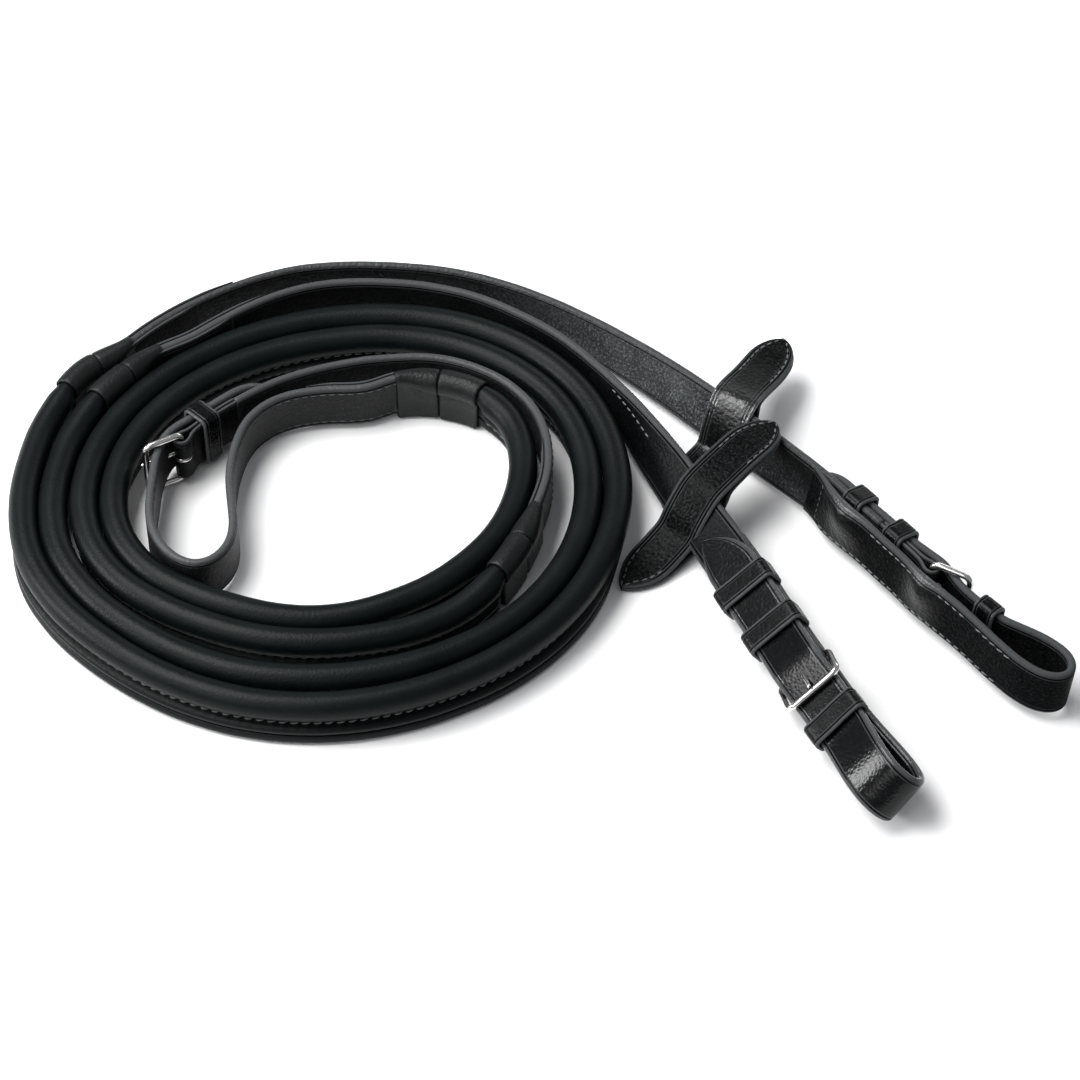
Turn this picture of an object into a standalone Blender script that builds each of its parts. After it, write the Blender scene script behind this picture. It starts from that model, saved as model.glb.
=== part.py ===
"""A pair of rolled leather riding reins, laid down in a coil and buckled together at the hand.

Each half rein is a 16 mm strap: a looped bit end with billet, buckle and keepers, a sliding rein
stop, a length rolled round a cord for the grip, and a flat hand piece. The two hand pieces meet at
a small centre buckle. Rein "a" carries the centre buckle, rein "b" the centre billet.
"""
import math

import bmesh
import bpy
from mathutils import Matrix, Vector

MM = 0.001
NAME = "leather_reins"

# Whole set: the middle of the footprint, and the table's height, in the plan below, in mm
PLAN_CENTRE = Vector((-2.703, -3.647, -0.013))

# Straps, in mm
STRAP_HALF = 8.0
STRAP_THICK = 2.6
PLY_THICK = 2.4
CHAPE_THICK = 1.0
EDGE_ROUND = 0.55
OGIVE = 15.0
GAP = 0.3

# Rolled grip: a folded strip round a cord, its two edges sewn together as a fin below
ROLL_RADIUS = 4.1
ROLL_RISE = 4.0
FIN_HALF = 1.35
NECK_RADIUS = 3.1
ROLL_STEP = 12.5
SLIT_HALF = 0.15
CORE_WALL = 1.2
SLEEVE_GAP = 0.4
SLEEVE_THICK = 0.7
SLEEVE_STEP = 0.3

# Bit end, measured along the strap from the end of the loop
KEEPER_NEAR_LOOP = 32.0
END_BAR = 43.0
HEEL_BAR = 54.0
KEEPER_MIDDLE = 70.0
CHAPE_END = 76.0
KEEPER_FAR = 88.0
SKIVE = 106.0
KEEPER_WIDTH = 7.5
HAND_KEEPER_WIDTH = 6.5
KEEPER_THICK = 1.2
CHAPE_REACH = 22.0

# Buckles
WIRE_RADIUS = 1.0
TONGUE_RADIUS = 0.8
BUCKLE_HALF = 9.3
END_BAR_RISE = 5.6

# Rein stops
STOP_WIDTH = 15.0
STOP_PLY = 1.2
STOP_SLACK = 0.8

# The lay of each half rein: x, y, height of the middle of the strap, outward lean in degrees.
# Bit end first. The rolled part is given about the middle of the coil as angle, radius, height, lean.
COIL_X = -66.9
COIL_Y = 5.4
BIT_A = [
    (151.6, -67.2, 10.4, 5), (141.0, -58.4, 10.9, 6), (129.0, -47.3, 11.3, 7),
    (118.2, -33.6, 11.4, 8), (106.2, -17.1, 11.2, 8), (95.2, -3.0, 10.9, 10),
    (86.0, 9.0, 10.2, 15), (77.3, 18.6, 9.8, 20), (68.4, 28.0, 9.6, 25),
    (58.4, 38.4, 9.6, 25), (50.0, 47.0, 9.6, 24), (40.5, 56.4, 9.6, 20),
    (29.5, 66.4, 9.6, 14), (18.0, 75.9, 9.6, 8), (6.0, 84.6, 9.6, 4),
    (-6.5, 91.8, 9.6, 2), (-19.0, 97.4, 9.6, 0), (-32.0, 100.9, 9.6, 0),
    (-46.0, 102.6, 9.6, 0), (-62.0, 103.0, 9.6, 0), (-78.0, 101.0, 9.6, 0),
    (-92.0, 95.8, 9.6, 0), (-104.0, 89.1, 9.6, 0), (-114.3, 81.7, 9.6, 0),
    (-123.0, 73.6, 9.7, 0), (-130.2, 65.6, 9.7, 0),
]
COIL_A = [
    (145, 90.6, 9.7, 0), (151, 90.6, 9.6, 0), (158, 90.4, 8.6, 0), (165, 90.0, 8.1, 0),
    (180, 89.3, 8.1, -5), (195, 88.5, 8.1, -9), (210, 85.6, 8.1, -9), (225, 82.6, 8.1, -9),
    (240, 81.4, 8.1, -9), (255, 81.1, 8.1, -9), (270, 81.1, 8.1, -9), (285, 81.5, 8.1, -9),
    (300, 82.6, 8.1, -9), (315, 84.6, 8.1, -9), (330, 86.8, 8.1, -8), (345, 88.7, 8.1, -5),
    (360, 90.4, 8.05, 0), (375, 91.5, 8, 0), (390, 91.7, 8, 0), (405, 89.8, 8, 0),
    (420, 86.1, 8, 0), (435, 81.5, 8, 0), (450, 77.3, 8, 0), (465, 74.2, 8, 0),
    (480, 72.4, 8, 0), (495, 71.6, 8, 0), (510, 71.5, 8, 0), (525, 71.3, 8, 0),
    (540, 70.8, 8, 0), (555, 69.2, 8, 0), (570, 65.8, 8, 0), (585, 61.2, 8, 0),
    (600, 58.1, 8, 0), (615, 56.8, 8, 0), (630, 56.4, 8, 0), (645, 57.2, 8, 0),
    (660, 59.4, 8, 0), (675, 61.8, 8.2, 0), (690, 63.0, 9.6, 0), (703, 64.2, 9.7, 0),
]
HAND_A = [
    (-0.6, 0.8, 9.6, 0), (2.3, 12.8, 9.6, 0), (2.2, 25.6, 9.6, 0), (-0.6, 37.0, 9.6, 0),
    (-6.4, 46.6, 9.6, 0), (-15.8, 54.9, 9.6, 0), (-31.0, 61.2, 9.6, 0),
    (-49.5, 61.0, 9.6, 0), (-67.0, 56.9, 9.8, 0), (-81.0, 50.7, 10.2, 0),
    (-91.6, 42.9, 10.7, 0), (-98.9, 36.5, 10.9, 0), (-104.5, 30.6, 10.9, 0),
    (-109.0, 25.0, 10.9, 0),
]
BIT_B = [
    (101.4, -108.2, 11.1, 43), (94.8, -96.0, 11.1, 46), (87.8, -83.0, 11.0, 51),
    (79.3, -66.3, 10.7, 55), (70.7, -48.6, 10.6, 56), (63.0, -31.8, 10.6, 56),
    (56.1, -17.0, 10.6, 56), (53.6, -11.8, 10.6, 53), (50.6, -5.6, 10.5, 46),
    (46.5, 2.9, 10.6, 44), (42.3, 11.6, 10.9, 43), (37.5, 21.3, 11.1, 36),
    (32.2, 32.0, 10.9, 24), (26.2, 44.2, 10.0, 12), (17.8, 57.0, 9.6, 5), (6.5, 70.4, 9.6, 2),
    (-6.5, 80.8, 9.6, 0), (-21.0, 89.0, 9.6, 0), (-36.0, 93.6, 9.6, 0),
    (-52.0, 95.3, 9.6, 0), (-67.0, 94.6, 9.6, 0), (-80.0, 90.8, 9.6, 0),
    (-90.8, 84.8, 9.6, 0), (-100.6, 77.6, 9.6, 0), (-109.4, 70.2, 9.6, 0),
]
COIL_B = [
    (133, 79.2, 9.7, 0), (141, 79.6, 9.7, 0), (150, 80.3, 9.6, 0), (158, 80.6, 8.6, 0),
    (165, 80.6, 8.1, 0), (180, 80.1, 8, 0), (195, 79.1, 8, 0), (210, 76.1, 8, 0),
    (225, 72.8, 8, 0), (240, 71.2, 8, 0), (255, 70.4, 8, 0), (270, 70.0, 8, 0),
    (285, 70.6, 8, 0), (300, 72.3, 8, 0), (315, 74.9, 8, 0), (330, 77.4, 8, 0),
    (345, 79.6, 8, 0), (360, 81.4, 8, 0), (375, 82.6, 8, 0), (390, 82.7, 8, 0),
    (405, 80.4, 8, 0), (420, 76.6, 8, 0), (435, 71.9, 8, 0), (450, 67.5, 8, 0),
    (465, 64.9, 8, 0), (480, 63.4, 8, 0), (495, 62.7, 8, 0), (510, 62.6, 8, 0),
    (525, 62.4, 8, 0), (540, 61.8, 8, 0), (555, 60.2, 8, 0), (570, 56.8, 8, 0),
    (585, 52.2, 8.1, 2), (600, 48.2, 8.2, 14), (615, 45.8, 7.9, 26), (630, 45.0, 7.7, 30),
    (645, 45.2, 7.8, 28), (660, 46.4, 8.1, 20), (675, 49.0, 8.2, 10), (690, 52.2, 8.1, 0),
    (705, 55.9, 8, 0), (720, 59.8, 8, 0), (735, 64.0, 8, 0), (749, 66.5, 8.4, 0),
    (761, 64.4, 9.6, 0), (773, 59.2, 9.7, 0), (784, 52.8, 9.7, 0),
]
HAND_B = [
    (-53.5, 48.3, 9.6, 0), (-67.5, 47.5, 9.6, 0), (-80.0, 44.2, 9.6, 0),
    (-88.6, 36.4, 9.6, 0), (-92.6, 24.3, 9.6, 0), (-93.7, 10.4, 9.6, 0),
    (-92.0, -2.7, 9.6, 0), (-91.6, -13.0, 9.6, 0), (-95.0, -21.0, 9.6, 0),
    (-101.3, -24.6, 9.6, 0), (-107.8, -22.0, 9.6, 0), (-113.0, -16.0, 9.8, 0),
    (-116.2, -8.3, 10.0, 0), (-117.0, 1.0, 10.4, 0), (-116.7, 9.0, 10.8, 0),
    (-116.5, 15.8, 10.9, 0), (-115.6, 21.4, 10.9, 0), (-114.3, 26.4, 10.9, 0),
    (-111.4, 30.3, 10.9, 0), (-106.9, 33.8, 10.9, 0), (-101.3, 39.0, 10.9, 0),
    (-93.9, 45.6, 10.7, 0), (-82.6, 53.8, 10.3, 0),
]
HAND_END_BAR = (-119.6, 19.2)

# Sleeves, along the strap
SLEEVE_BIT_LENGTH = 27.0
SLEEVE_HAND_LENGTH = 28.0

# Billet path beside the strap: distance from the loop end, offset across the layers
BILLET_PATH = [
    (106.0, -2.3), (99.0, -3.2), (93.0, -4.3), (86.0, -4.4), (79.0, -4.1), (70.0, -4.4),
    (62.0, -4.3), (54.0, -4.7), (45.0, -3.9), (37.0, -3.4), (29.0, -3.9), (21.0, -5.3),
    (12.5, -6.5), (5.5, -5.9), (1.4, -3.4), (0.0, 0.0), (1.4, 3.4), (5.5, 5.9),
    (12.5, 6.3), (20.0, 4.9), (26.0, 3.5), (32.0, 3.1), (37.0, 2.9), (43.0, 2.9),
    (48.0, 3.7), (54.0, 4.7), (60.0, 3.9), (65.0, 3.1), (70.0, 3.0), (80.0, 3.0),
    (90.0, 3.0), (100.0, 3.0), (110.0, 3.0),
]
CHAPE_PATH = [
    (22.0, 0.7), (14.0, 0.7), (6.0, 0.8), (3.6, 1.1), (1.8, 1.75), (0.0, 2.1), (-1.5, 1.5),
    (-2.1, 0.0), (-1.5, -1.5), (0.0, -2.1), (1.8, -1.75), (3.6, -1.1), (6.0, -0.8),
    (14.0, -0.7), (22.0, -0.7),
]


def clear_scene():
    for obj in list(bpy.data.objects):
        bpy.data.objects.remove(obj)


def collection(name):
    made = bpy.data.collections.new(name)
    bpy.context.scene.collection.children.link(made)
    return made


def material(name, colour, metallic, roughness):
    made = bpy.data.materials.new(name)
    made.use_nodes = True
    shader = made.node_tree.nodes["Principled BSDF"]
    shader.inputs["Base Color"].default_value = (*colour, 1.0)
    shader.inputs["Metallic"].default_value = metallic
    shader.inputs["Roughness"].default_value = roughness
    return made


def polar(points):
    """Turn angle and radius about the coil's middle into plan positions."""
    made = []
    for angle, radius, height, lean in points:
        turn = math.radians(angle)
        made.append((COIL_X + radius * math.cos(turn), COIL_Y + radius * math.sin(turn),
                     height, lean))
    return made


def smooth(points, step):
    """Run a smooth curve through hand-picked rows of numbers, as rows about one step apart."""
    rows = [list(map(float, p)) for p in points]
    size = 3 if len(rows[0]) > 2 else 2
    along = [0.0]
    for a, b in zip(rows, rows[1:]):
        along.append(along[-1] + math.dist(a[:size], b[:size]))
    slopes = []
    for i in range(len(rows)):
        lo = max(i - 1, 0)
        hi = min(i + 1, len(rows) - 1)
        span = along[hi] - along[lo]
        slopes.append([(rows[hi][k] - rows[lo][k]) / span for k in range(len(rows[0]))])
    made = []
    for i in range(len(rows) - 1):
        span = along[i + 1] - along[i]
        count = max(1, round(span / step))
        for j in range(count):
            made.append(hermite(rows[i], rows[i + 1], slopes[i], slopes[i + 1], span, j / count))
    made.append(rows[-1])
    return made


def hermite(a, b, slope_a, slope_b, span, t):
    h1 = 2 * t ** 3 - 3 * t ** 2 + 1
    h2 = t ** 3 - 2 * t ** 2 + t
    h3 = -2 * t ** 3 + 3 * t ** 2
    h4 = t ** 3 - t ** 2
    return [h1 * p + h2 * span * m + h3 * q + h4 * span * n
            for p, q, m, n in zip(a, b, slope_a, slope_b)]


class Route:
    """The middle line of one strap, with the strap's own directions at any distance along it."""

    def __init__(self, points):
        rows = smooth(points, 1.0)
        self.place = [Vector(r[:3]) - PLAN_CENTRE for r in rows]
        self.lean = [r[3] for r in rows]
        self.along = [0.0]
        for a, b in zip(self.place, self.place[1:]):
            self.along.append(self.along[-1] + (b - a).length)
        self.length = self.along[-1]

    def index(self, s):
        lo = 0
        hi = len(self.along) - 2
        while lo < hi:
            mid = (lo + hi + 1) // 2
            if self.along[mid] <= s:
                lo = mid
            else:
                hi = mid - 1
        return lo

    def point(self, s):
        i = self.index(s)
        t = (s - self.along[i]) / (self.along[i + 1] - self.along[i])
        return self.place[i].lerp(self.place[i + 1], t)

    def axes(self, s):
        """Along the strap, up across its width, and outward through its thickness."""
        i = self.index(s)
        t = (s - self.along[i]) / (self.along[i + 1] - self.along[i])
        lean = math.radians(self.lean[i] * (1 - t) + self.lean[i + 1] * t)
        tangent = (self.point(min(s + 1.0, self.length)) - self.point(max(s - 1.0, 0.0)))
        tangent.normalize()
        side = tangent.cross(Vector((0, 0, 1))).normalized()
        up = side.cross(tangent).normalized()
        width = up * math.cos(lean) + side * math.sin(lean)
        return tangent, width, tangent.cross(width).normalized()

    def at(self, s, v):
        return self.point(s) + self.axes(s)[2] * v

    def near(self, x, y):
        """Distance along the route of the point closest to a plan position."""
        target = Vector((x, y, 0)) - PLAN_CENTRE
        best = min(range(len(self.place)),
                   key=lambda i: (self.place[i].xy - target.xy).length)
        return self.along[best]


def new_object(name, mesh, home, slot):
    obj = bpy.data.objects.new(name, mesh)
    home.objects.link(obj)
    mesh.materials.clear()
    mesh.materials.append(slot)
    mesh.shade_smooth()
    mesh.set_sharp_from_angle(angle=math.radians(40))
    return obj


def loft(name, rings, home, slot, holes=None):
    """Skin a row of closed rings; holes, a second row, makes a hollow sleeve open at both ends."""
    bm = bmesh.new()
    outer = [[bm.verts.new(p * MM) for p in ring] for ring in rings]
    count = len(outer[0])
    for a, b in zip(outer, outer[1:]):
        for i in range(count):
            j = (i + 1) % count
            bm.faces.new((a[i], a[j], b[j], b[i]))
    if holes is None:
        bm.faces.new(list(reversed(outer[0])))
        bm.faces.new(outer[-1])
    else:
        inner = [[bm.verts.new(p * MM) for p in ring] for ring in holes]
        for a, b in zip(inner, inner[1:]):
            for i in range(count):
                j = (i + 1) % count
                bm.faces.new((b[i], b[j], a[j], a[i]))
        for big, small in ((outer[0], inner[0]), (outer[-1], inner[-1])):
            for i in range(count):
                j = (i + 1) % count
                bm.faces.new((big[i], small[i], small[j], big[j]))
    bmesh.ops.recalc_face_normals(bm, faces=bm.faces)
    mesh = bpy.data.meshes.new(name)
    bm.to_mesh(mesh)
    bm.free()
    return new_object(name, mesh, home, slot)


def strap_ring(half_width, half_thick):
    """Cross-section of a flat strap with rubbed-down edges: across its width, through it."""
    r = min(EDGE_ROUND, half_thick * 0.45, half_width * 0.45)
    w = half_width
    t = half_thick
    return [(-w, -t + r), (-w, t - r), (-w + r, t), (w - r, t),
            (w, t - r), (w, -t + r), (w - r, -t), (-w + r, -t)]


def ogive(distance):
    """Share of full width at a distance back from the point of an arched strap end."""
    if distance >= OGIVE:
        return 1.0
    arc = (OGIVE ** 2 + STRAP_HALF ** 2) / (2 * STRAP_HALF)
    half = math.sqrt(arc ** 2 - (OGIVE - distance) ** 2) - arc + STRAP_HALF
    return max(0.1, half / STRAP_HALF)


def strip(name, centres, widths, halves, home, slot, thick):
    """Flat strap through a row of centres; halves gives its half width and thickness share."""
    rings = []
    last = len(centres) - 1
    for i, centre in enumerate(centres):
        tangent = (centres[min(i + 1, last)] - centres[max(i - 1, 0)]).normalized()
        across = (widths[i] - tangent * widths[i].dot(tangent)).normalized()
        through = tangent.cross(across)
        half_width, share = halves[i]
        ring = strap_ring(half_width, thick / 2 * share)
        rings.append([centre + across * u + through * d for u, d in ring])
    return loft(name, rings, home, slot)


def straight_strap(name, route, start, end, step, home, slot, tip=False):
    """Single strap on the middle line of its route, with a pointed far end when asked."""
    count = max(2, round((end - start) / step))
    places = [start + (end - start) * i / count for i in range(count + 1)]
    if tip:
        places = [s for s in places if s < end - OGIVE]
        places += [end - OGIVE * f for f in (1.0, 0.6, 0.33, 0.15, 0.05, 0.0)]
    halves = []
    for s in places:
        share = ogive(end - s) if tip else 1.0
        halves.append((STRAP_HALF * share, 1.0))
    return strip(name, [route.point(s) for s in places], [route.axes(s)[1] for s in places],
                 halves, home, slot, STRAP_THICK)


def keyhole(radius, half, centre, bottom, turns):
    """Outline of a roll standing on its fin, as height and side offset pairs."""
    open_angle = math.asin(min(1.0, half / radius))
    pairs = [(bottom, half)]
    for i in range(turns + 1):
        turn = -math.pi / 2 + open_angle + (2 * math.pi - 2 * open_angle) * i / turns
        pairs.append((centre + radius * math.sin(turn), radius * math.cos(turn)))
    pairs.append((bottom, -half))
    return pairs


def folded(share):
    """Section of the grip strip: round the cord, then both edges brought down side by side."""
    radius = NECK_RADIUS + (ROLL_RADIUS - NECK_RADIUS) * share
    centre = STRAP_HALF + 0.1 - radius
    hole = radius - CORE_WALL
    pairs = keyhole(radius, FIN_HALF, centre, -STRAP_HALF, 10)
    inside = keyhole(hole, SLIT_HALF, centre, -STRAP_HALF, 6)
    return pairs + list(reversed(inside))


def placed(route, s, pairs):
    tangent, width, through = route.axes(s)
    return [route.point(s) + width * u + through * d for u, d in pairs]


def swell(s, mouths):
    """Share of full roll size: nipped in under the sleeves, full just outside their mouths."""
    share = min(1.0, max(0.0, min(s - mouths[0], mouths[1] - s) / 5.0 + 0.05))
    return share * share * (3 - 2 * share)


def roll_stations(start, end, mouths):
    """Distances along the roll: close together near both sleeves, wider apart between them."""
    places = []
    s = start
    while s < end - 1.0:
        places.append(s)
        inner = mouths[0] + 8.0 < s < mouths[1] - 8.0
        s += ROLL_STEP if inner else 4.0
    places.append(end)
    return places


def grip(name, route, start, end, mouths, home, slot):
    rings = [placed(route, s, folded(swell(s, mouths)))
             for s in roll_stations(start, end, mouths)]
    return loft(name, rings, home, slot)


def core(name, route, start, end, mouths, home, slot):
    rings = []
    for s in roll_stations(start, end, mouths):
        share = swell(s, mouths)
        radius = NECK_RADIUS + (ROLL_RADIUS - NECK_RADIUS) * share
        centre = STRAP_HALF + 0.1 - radius
        cord = (radius - CORE_WALL) * 0.866 - GAP
        turns = [math.pi / 2 + math.pi * k / 3 for k in range(6)]
        pairs = [(centre + cord * math.sin(t), cord * math.cos(t)) for t in turns]
        rings.append(placed(route, s, pairs))
    return loft(name, rings, home, slot)


def sleeve(name, route, strap_end, roll_end, home, slot):
    """Leather wrap over the change from flat strap to roll, stepped at its middle."""
    shares = [0.0, 0.13, 0.26, 0.4, 0.5, 0.52, 0.65, 0.8, 1.0]
    outer = []
    inner = []
    for i, share in enumerate(shares):
        s = strap_end + (roll_end - strap_end) * share
        grow = min(1.0, share / 0.4)
        grow = grow * grow * (3 - 2 * grow)
        radius = FIN_HALF + (NECK_RADIUS - FIN_HALF) * grow
        centre = STRAP_HALF + 0.1 * grow - radius
        outside = SLEEVE_GAP + SLEEVE_THICK + (SLEEVE_STEP if i > 4 else 0.0)
        outer.append(placed(route, s, keyhole(radius + outside, FIN_HALF + outside, centre,
                                              -STRAP_HALF - outside, 10)))
        inner.append(placed(route, s, keyhole(radius + SLEEVE_GAP, FIN_HALF + SLEEVE_GAP, centre,
                                              -STRAP_HALF - SLEEVE_GAP, 10)))
    return loft(name, outer, home, slot, holes=inner)


def curve_mesh(name, splines, cyclic, bevel, extrude, matrix, home, slot):
    """Turn poly splines in mm into a closed mesh: a round wire, or a filled and extruded outline."""
    data = bpy.data.curves.new(name, "CURVE")
    data.dimensions = "3D" if bevel else "2D"
    data.bevel_depth = bevel * MM
    data.bevel_resolution = 2
    data.use_fill_caps = bool(bevel)
    data.fill_mode = "FULL" if bevel else "BOTH"
    data.extrude = extrude * MM
    for points in splines:
        spline = data.splines.new("POLY")
        spline.points.add(len(points) - 1)
        for target, p in zip(spline.points, points):
            target.co = (p[0] * MM, p[1] * MM, (p[2] if len(p) > 2 else 0.0) * MM, 1.0)
        spline.use_cyclic_u = cyclic
    maker = bpy.data.objects.new(name + ".path", data)
    home.objects.link(maker)
    bpy.context.view_layer.update()
    shape = maker.evaluated_get(bpy.context.evaluated_depsgraph_get())
    mesh = bpy.data.meshes.new_from_object(shape)
    mesh.name = name
    bpy.data.objects.remove(maker)
    bm = bmesh.new()
    bm.from_mesh(mesh)
    bmesh.ops.remove_doubles(bm, verts=bm.verts, dist=0.00002)
    bmesh.ops.recalc_face_normals(bm, faces=bm.faces)
    bm.to_mesh(mesh)
    bm.free()
    obj = new_object(name, mesh, home, slot)
    obj.matrix_world = matrix
    return obj


def basis(x, y, z, origin):
    matrix = Matrix((x, y, z)).transposed().to_4x4()
    matrix.translation = origin * MM
    return matrix


def rounded_box(half_x, half_y, radius, turns):
    pairs = []
    for corner in range(4):
        cx = (half_x - radius) * (1 if corner in (0, 3) else -1)
        cy = (half_y - radius) * (1 if corner in (0, 1) else -1)
        for i in range(turns + 1):
            turn = math.pi / 2 * (corner + i / turns)
            pairs.append((cx + radius * math.cos(turn), cy + radius * math.sin(turn)))
    return pairs


def keeper(name, route, s, v_low, v_high, long, home, slot):
    """Sewn leather loop of a given length, standing round the layers between two offsets."""
    tangent, width, through = route.axes(s)
    mid = (v_low + v_high) / 2
    half = (v_high - v_low) / 2
    outer = rounded_box(STRAP_HALF + GAP + KEEPER_THICK, half + KEEPER_THICK, 1.5, 3)
    inner = rounded_box(STRAP_HALF + GAP, half, 0.5, 3)
    matrix = basis(width, through, width.cross(through), route.at(s, mid))
    return curve_mesh(name, [outer, inner], True, 0.0, long / 2, matrix, home, slot)


def cut(obj, cutters, operation):
    """Apply one exact Boolean per cutter and keep the result as plain mesh."""
    for cutter in cutters:
        modifier = obj.modifiers.new("cut", "BOOLEAN")
        modifier.operation = operation
        modifier.solver = "EXACT"
        modifier.object = cutter
        cutter.hide_render = True
        cutter.display_type = "WIRE"
    bpy.context.view_layer.update()
    shape = obj.evaluated_get(bpy.context.evaluated_depsgraph_get())
    mesh = bpy.data.meshes.new_from_object(shape)
    obj.modifiers.clear()
    obj.data = mesh


def box_cutter(name, matrix, size, home):
    """Box of a given size in mm, centred on a matrix."""
    bm = bmesh.new()
    bmesh.ops.create_cube(bm, size=1.0)
    bmesh.ops.scale(bm, vec=Vector(size) * MM, verts=bm.verts)
    mesh = bpy.data.meshes.new(name)
    bm.to_mesh(mesh)
    bm.free()
    obj = bpy.data.objects.new(name, mesh)
    home.objects.link(obj)
    obj.matrix_world = matrix
    return obj


def buckle(name, heel, end, width, front, home, metal):
    """Wire frame turning on its heel bar, and a tongue lying from the heel bar over the end bar."""
    x = (end - heel).normalized()
    y = (width - x * width.dot(x)).normalized()
    z = x.cross(y)
    if z.dot(front) < 0:
        y = -y
        z = -z
    reach = (end - heel).length
    matrix = basis(x, y, z, heel)
    ring = [(px + reach / 2, py) for px, py in rounded_box(reach / 2, BUCKLE_HALF, 2.4, 3)]
    curve_mesh(name + "_frame", [ring], True, WIRE_RADIUS, 0.0, matrix, home, metal)
    bend = WIRE_RADIUS + 0.3 + TONGUE_RADIUS
    path = []
    for i in range(9):
        turn = math.radians(-205 + 295 * i / 8)
        path.append((bend * math.cos(turn), 0.0, bend * math.sin(turn)))
    path += [(reach * 0.5, 0.0, bend + 0.05), (reach + 1.6, 0.0, bend)]
    curve_mesh(name + "_tongue", [path], False, TONGUE_RADIUS, 0.0, matrix, home, metal)
    return matrix


def chape(name, route, heel_s, side, home, slot, tools):
    """Thin strip folded round the heel bar, slotted for the tongue; side is +1 or -1 along."""
    path = smooth(CHAPE_PATH, 3.0)
    centres = []
    widths = []
    tangent, width, through = route.axes(heel_s)
    for ds, dv in path:
        s = heel_s + side * ds
        if 0 <= s <= route.length and ds > 2.5:
            centres.append(route.at(s, dv))
            widths.append(route.axes(s)[1])
        else:
            centres.append(route.point(heel_s) + tangent * side * ds + through * dv)
            widths.append(width)
    halves = [(STRAP_HALF, 1.0)] * len(centres)
    obj = strip(name, centres, widths, halves, home, slot, CHAPE_THICK)
    middle = route.point(heel_s) - tangent * side * 1.4
    slot_box = box_cutter(name + "_slot", basis(tangent, width, through, middle),
                          (10.0, 3.6, 9.0), tools)
    cut(obj, [slot_box], "DIFFERENCE")
    return obj


def bit_end(tag, route, front, home, slots, tools):
    """Looped billet, chape, buckle and three keepers; front is the side the buckle faces."""
    path = smooth(BILLET_PATH, 4.0)
    centres = [route.at(s, v * front) for s, v in path]
    widths = [route.axes(s)[1] for s, v in path]
    run = [0.0]
    for a, b in zip(centres, centres[1:]):
        run.append(run[-1] + (b - a).length)
    total = run[-1]
    centres.insert(-1, centres[-2].lerp(centres[-1], 0.75))
    widths.insert(-1, widths[-1])
    run.insert(-1, total - (centres[-1] - centres[-2]).length)
    halves = []
    for r in run:
        halves.append((STRAP_HALF * ogive(total - r), min(1.0, 0.3 + r / 14)))
    billet = strip("billet_" + tag, centres, widths, halves, home, slots["billet"], PLY_THICK)
    tangent, width, through = route.axes(50.6)
    hole = box_cutter("billet_" + tag + "_hole",
                      basis(tangent, width, through, route.at(50.6, front * 4.6)),
                      (8.4, 2.8, 8.0), tools)
    cut(billet, [hole], "DIFFERENCE")
    chape("chape_" + tag, route, HEEL_BAR, 1.0, home, slots["strap"], tools)
    heel = route.point(HEEL_BAR)
    end = route.at(END_BAR, END_BAR_RISE * front)
    tangent, width, through = route.axes(HEEL_BAR)
    buckle("buckle_" + tag, heel, end, width, through * front, home, slots["metal"])
    layers = {1: (KEEPER_NEAR_LOOP, 1.3, 5.1), 2: (KEEPER_MIDDLE, -1.6, 4.8),
              3: (KEEPER_FAR, -1.6, 4.8)}
    for number, (s, low, high) in layers.items():
        v = sorted((low * front, high * front))
        keeper("keeper_%s%d" % (tag, number), route, s, v[0], v[1], KEEPER_WIDTH, home,
               slots["keeper"])


def stop_outline(reaches, skews):
    """Plan of the tab: two pointed halves, each with its own length and turn from square."""
    made = []
    for sign, reach, skew in ((1, reaches[0], skews[0]), (-1, reaches[1], skews[1])):
        turn = math.radians(skew)
        half = []
        for i in range(9):
            back = OGIVE * (i / 8) ** 1.6
            half.append((reach - back, STOP_WIDTH / 2 * ogive(back)))
        both = [(p[0], -p[1]) for p in reversed(half)] + half
        made += [(sign * (x * math.cos(turn) - y * math.sin(turn)),
                  sign * (x * math.sin(turn) + y * math.cos(turn))) for x, y in both]
    return made


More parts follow.
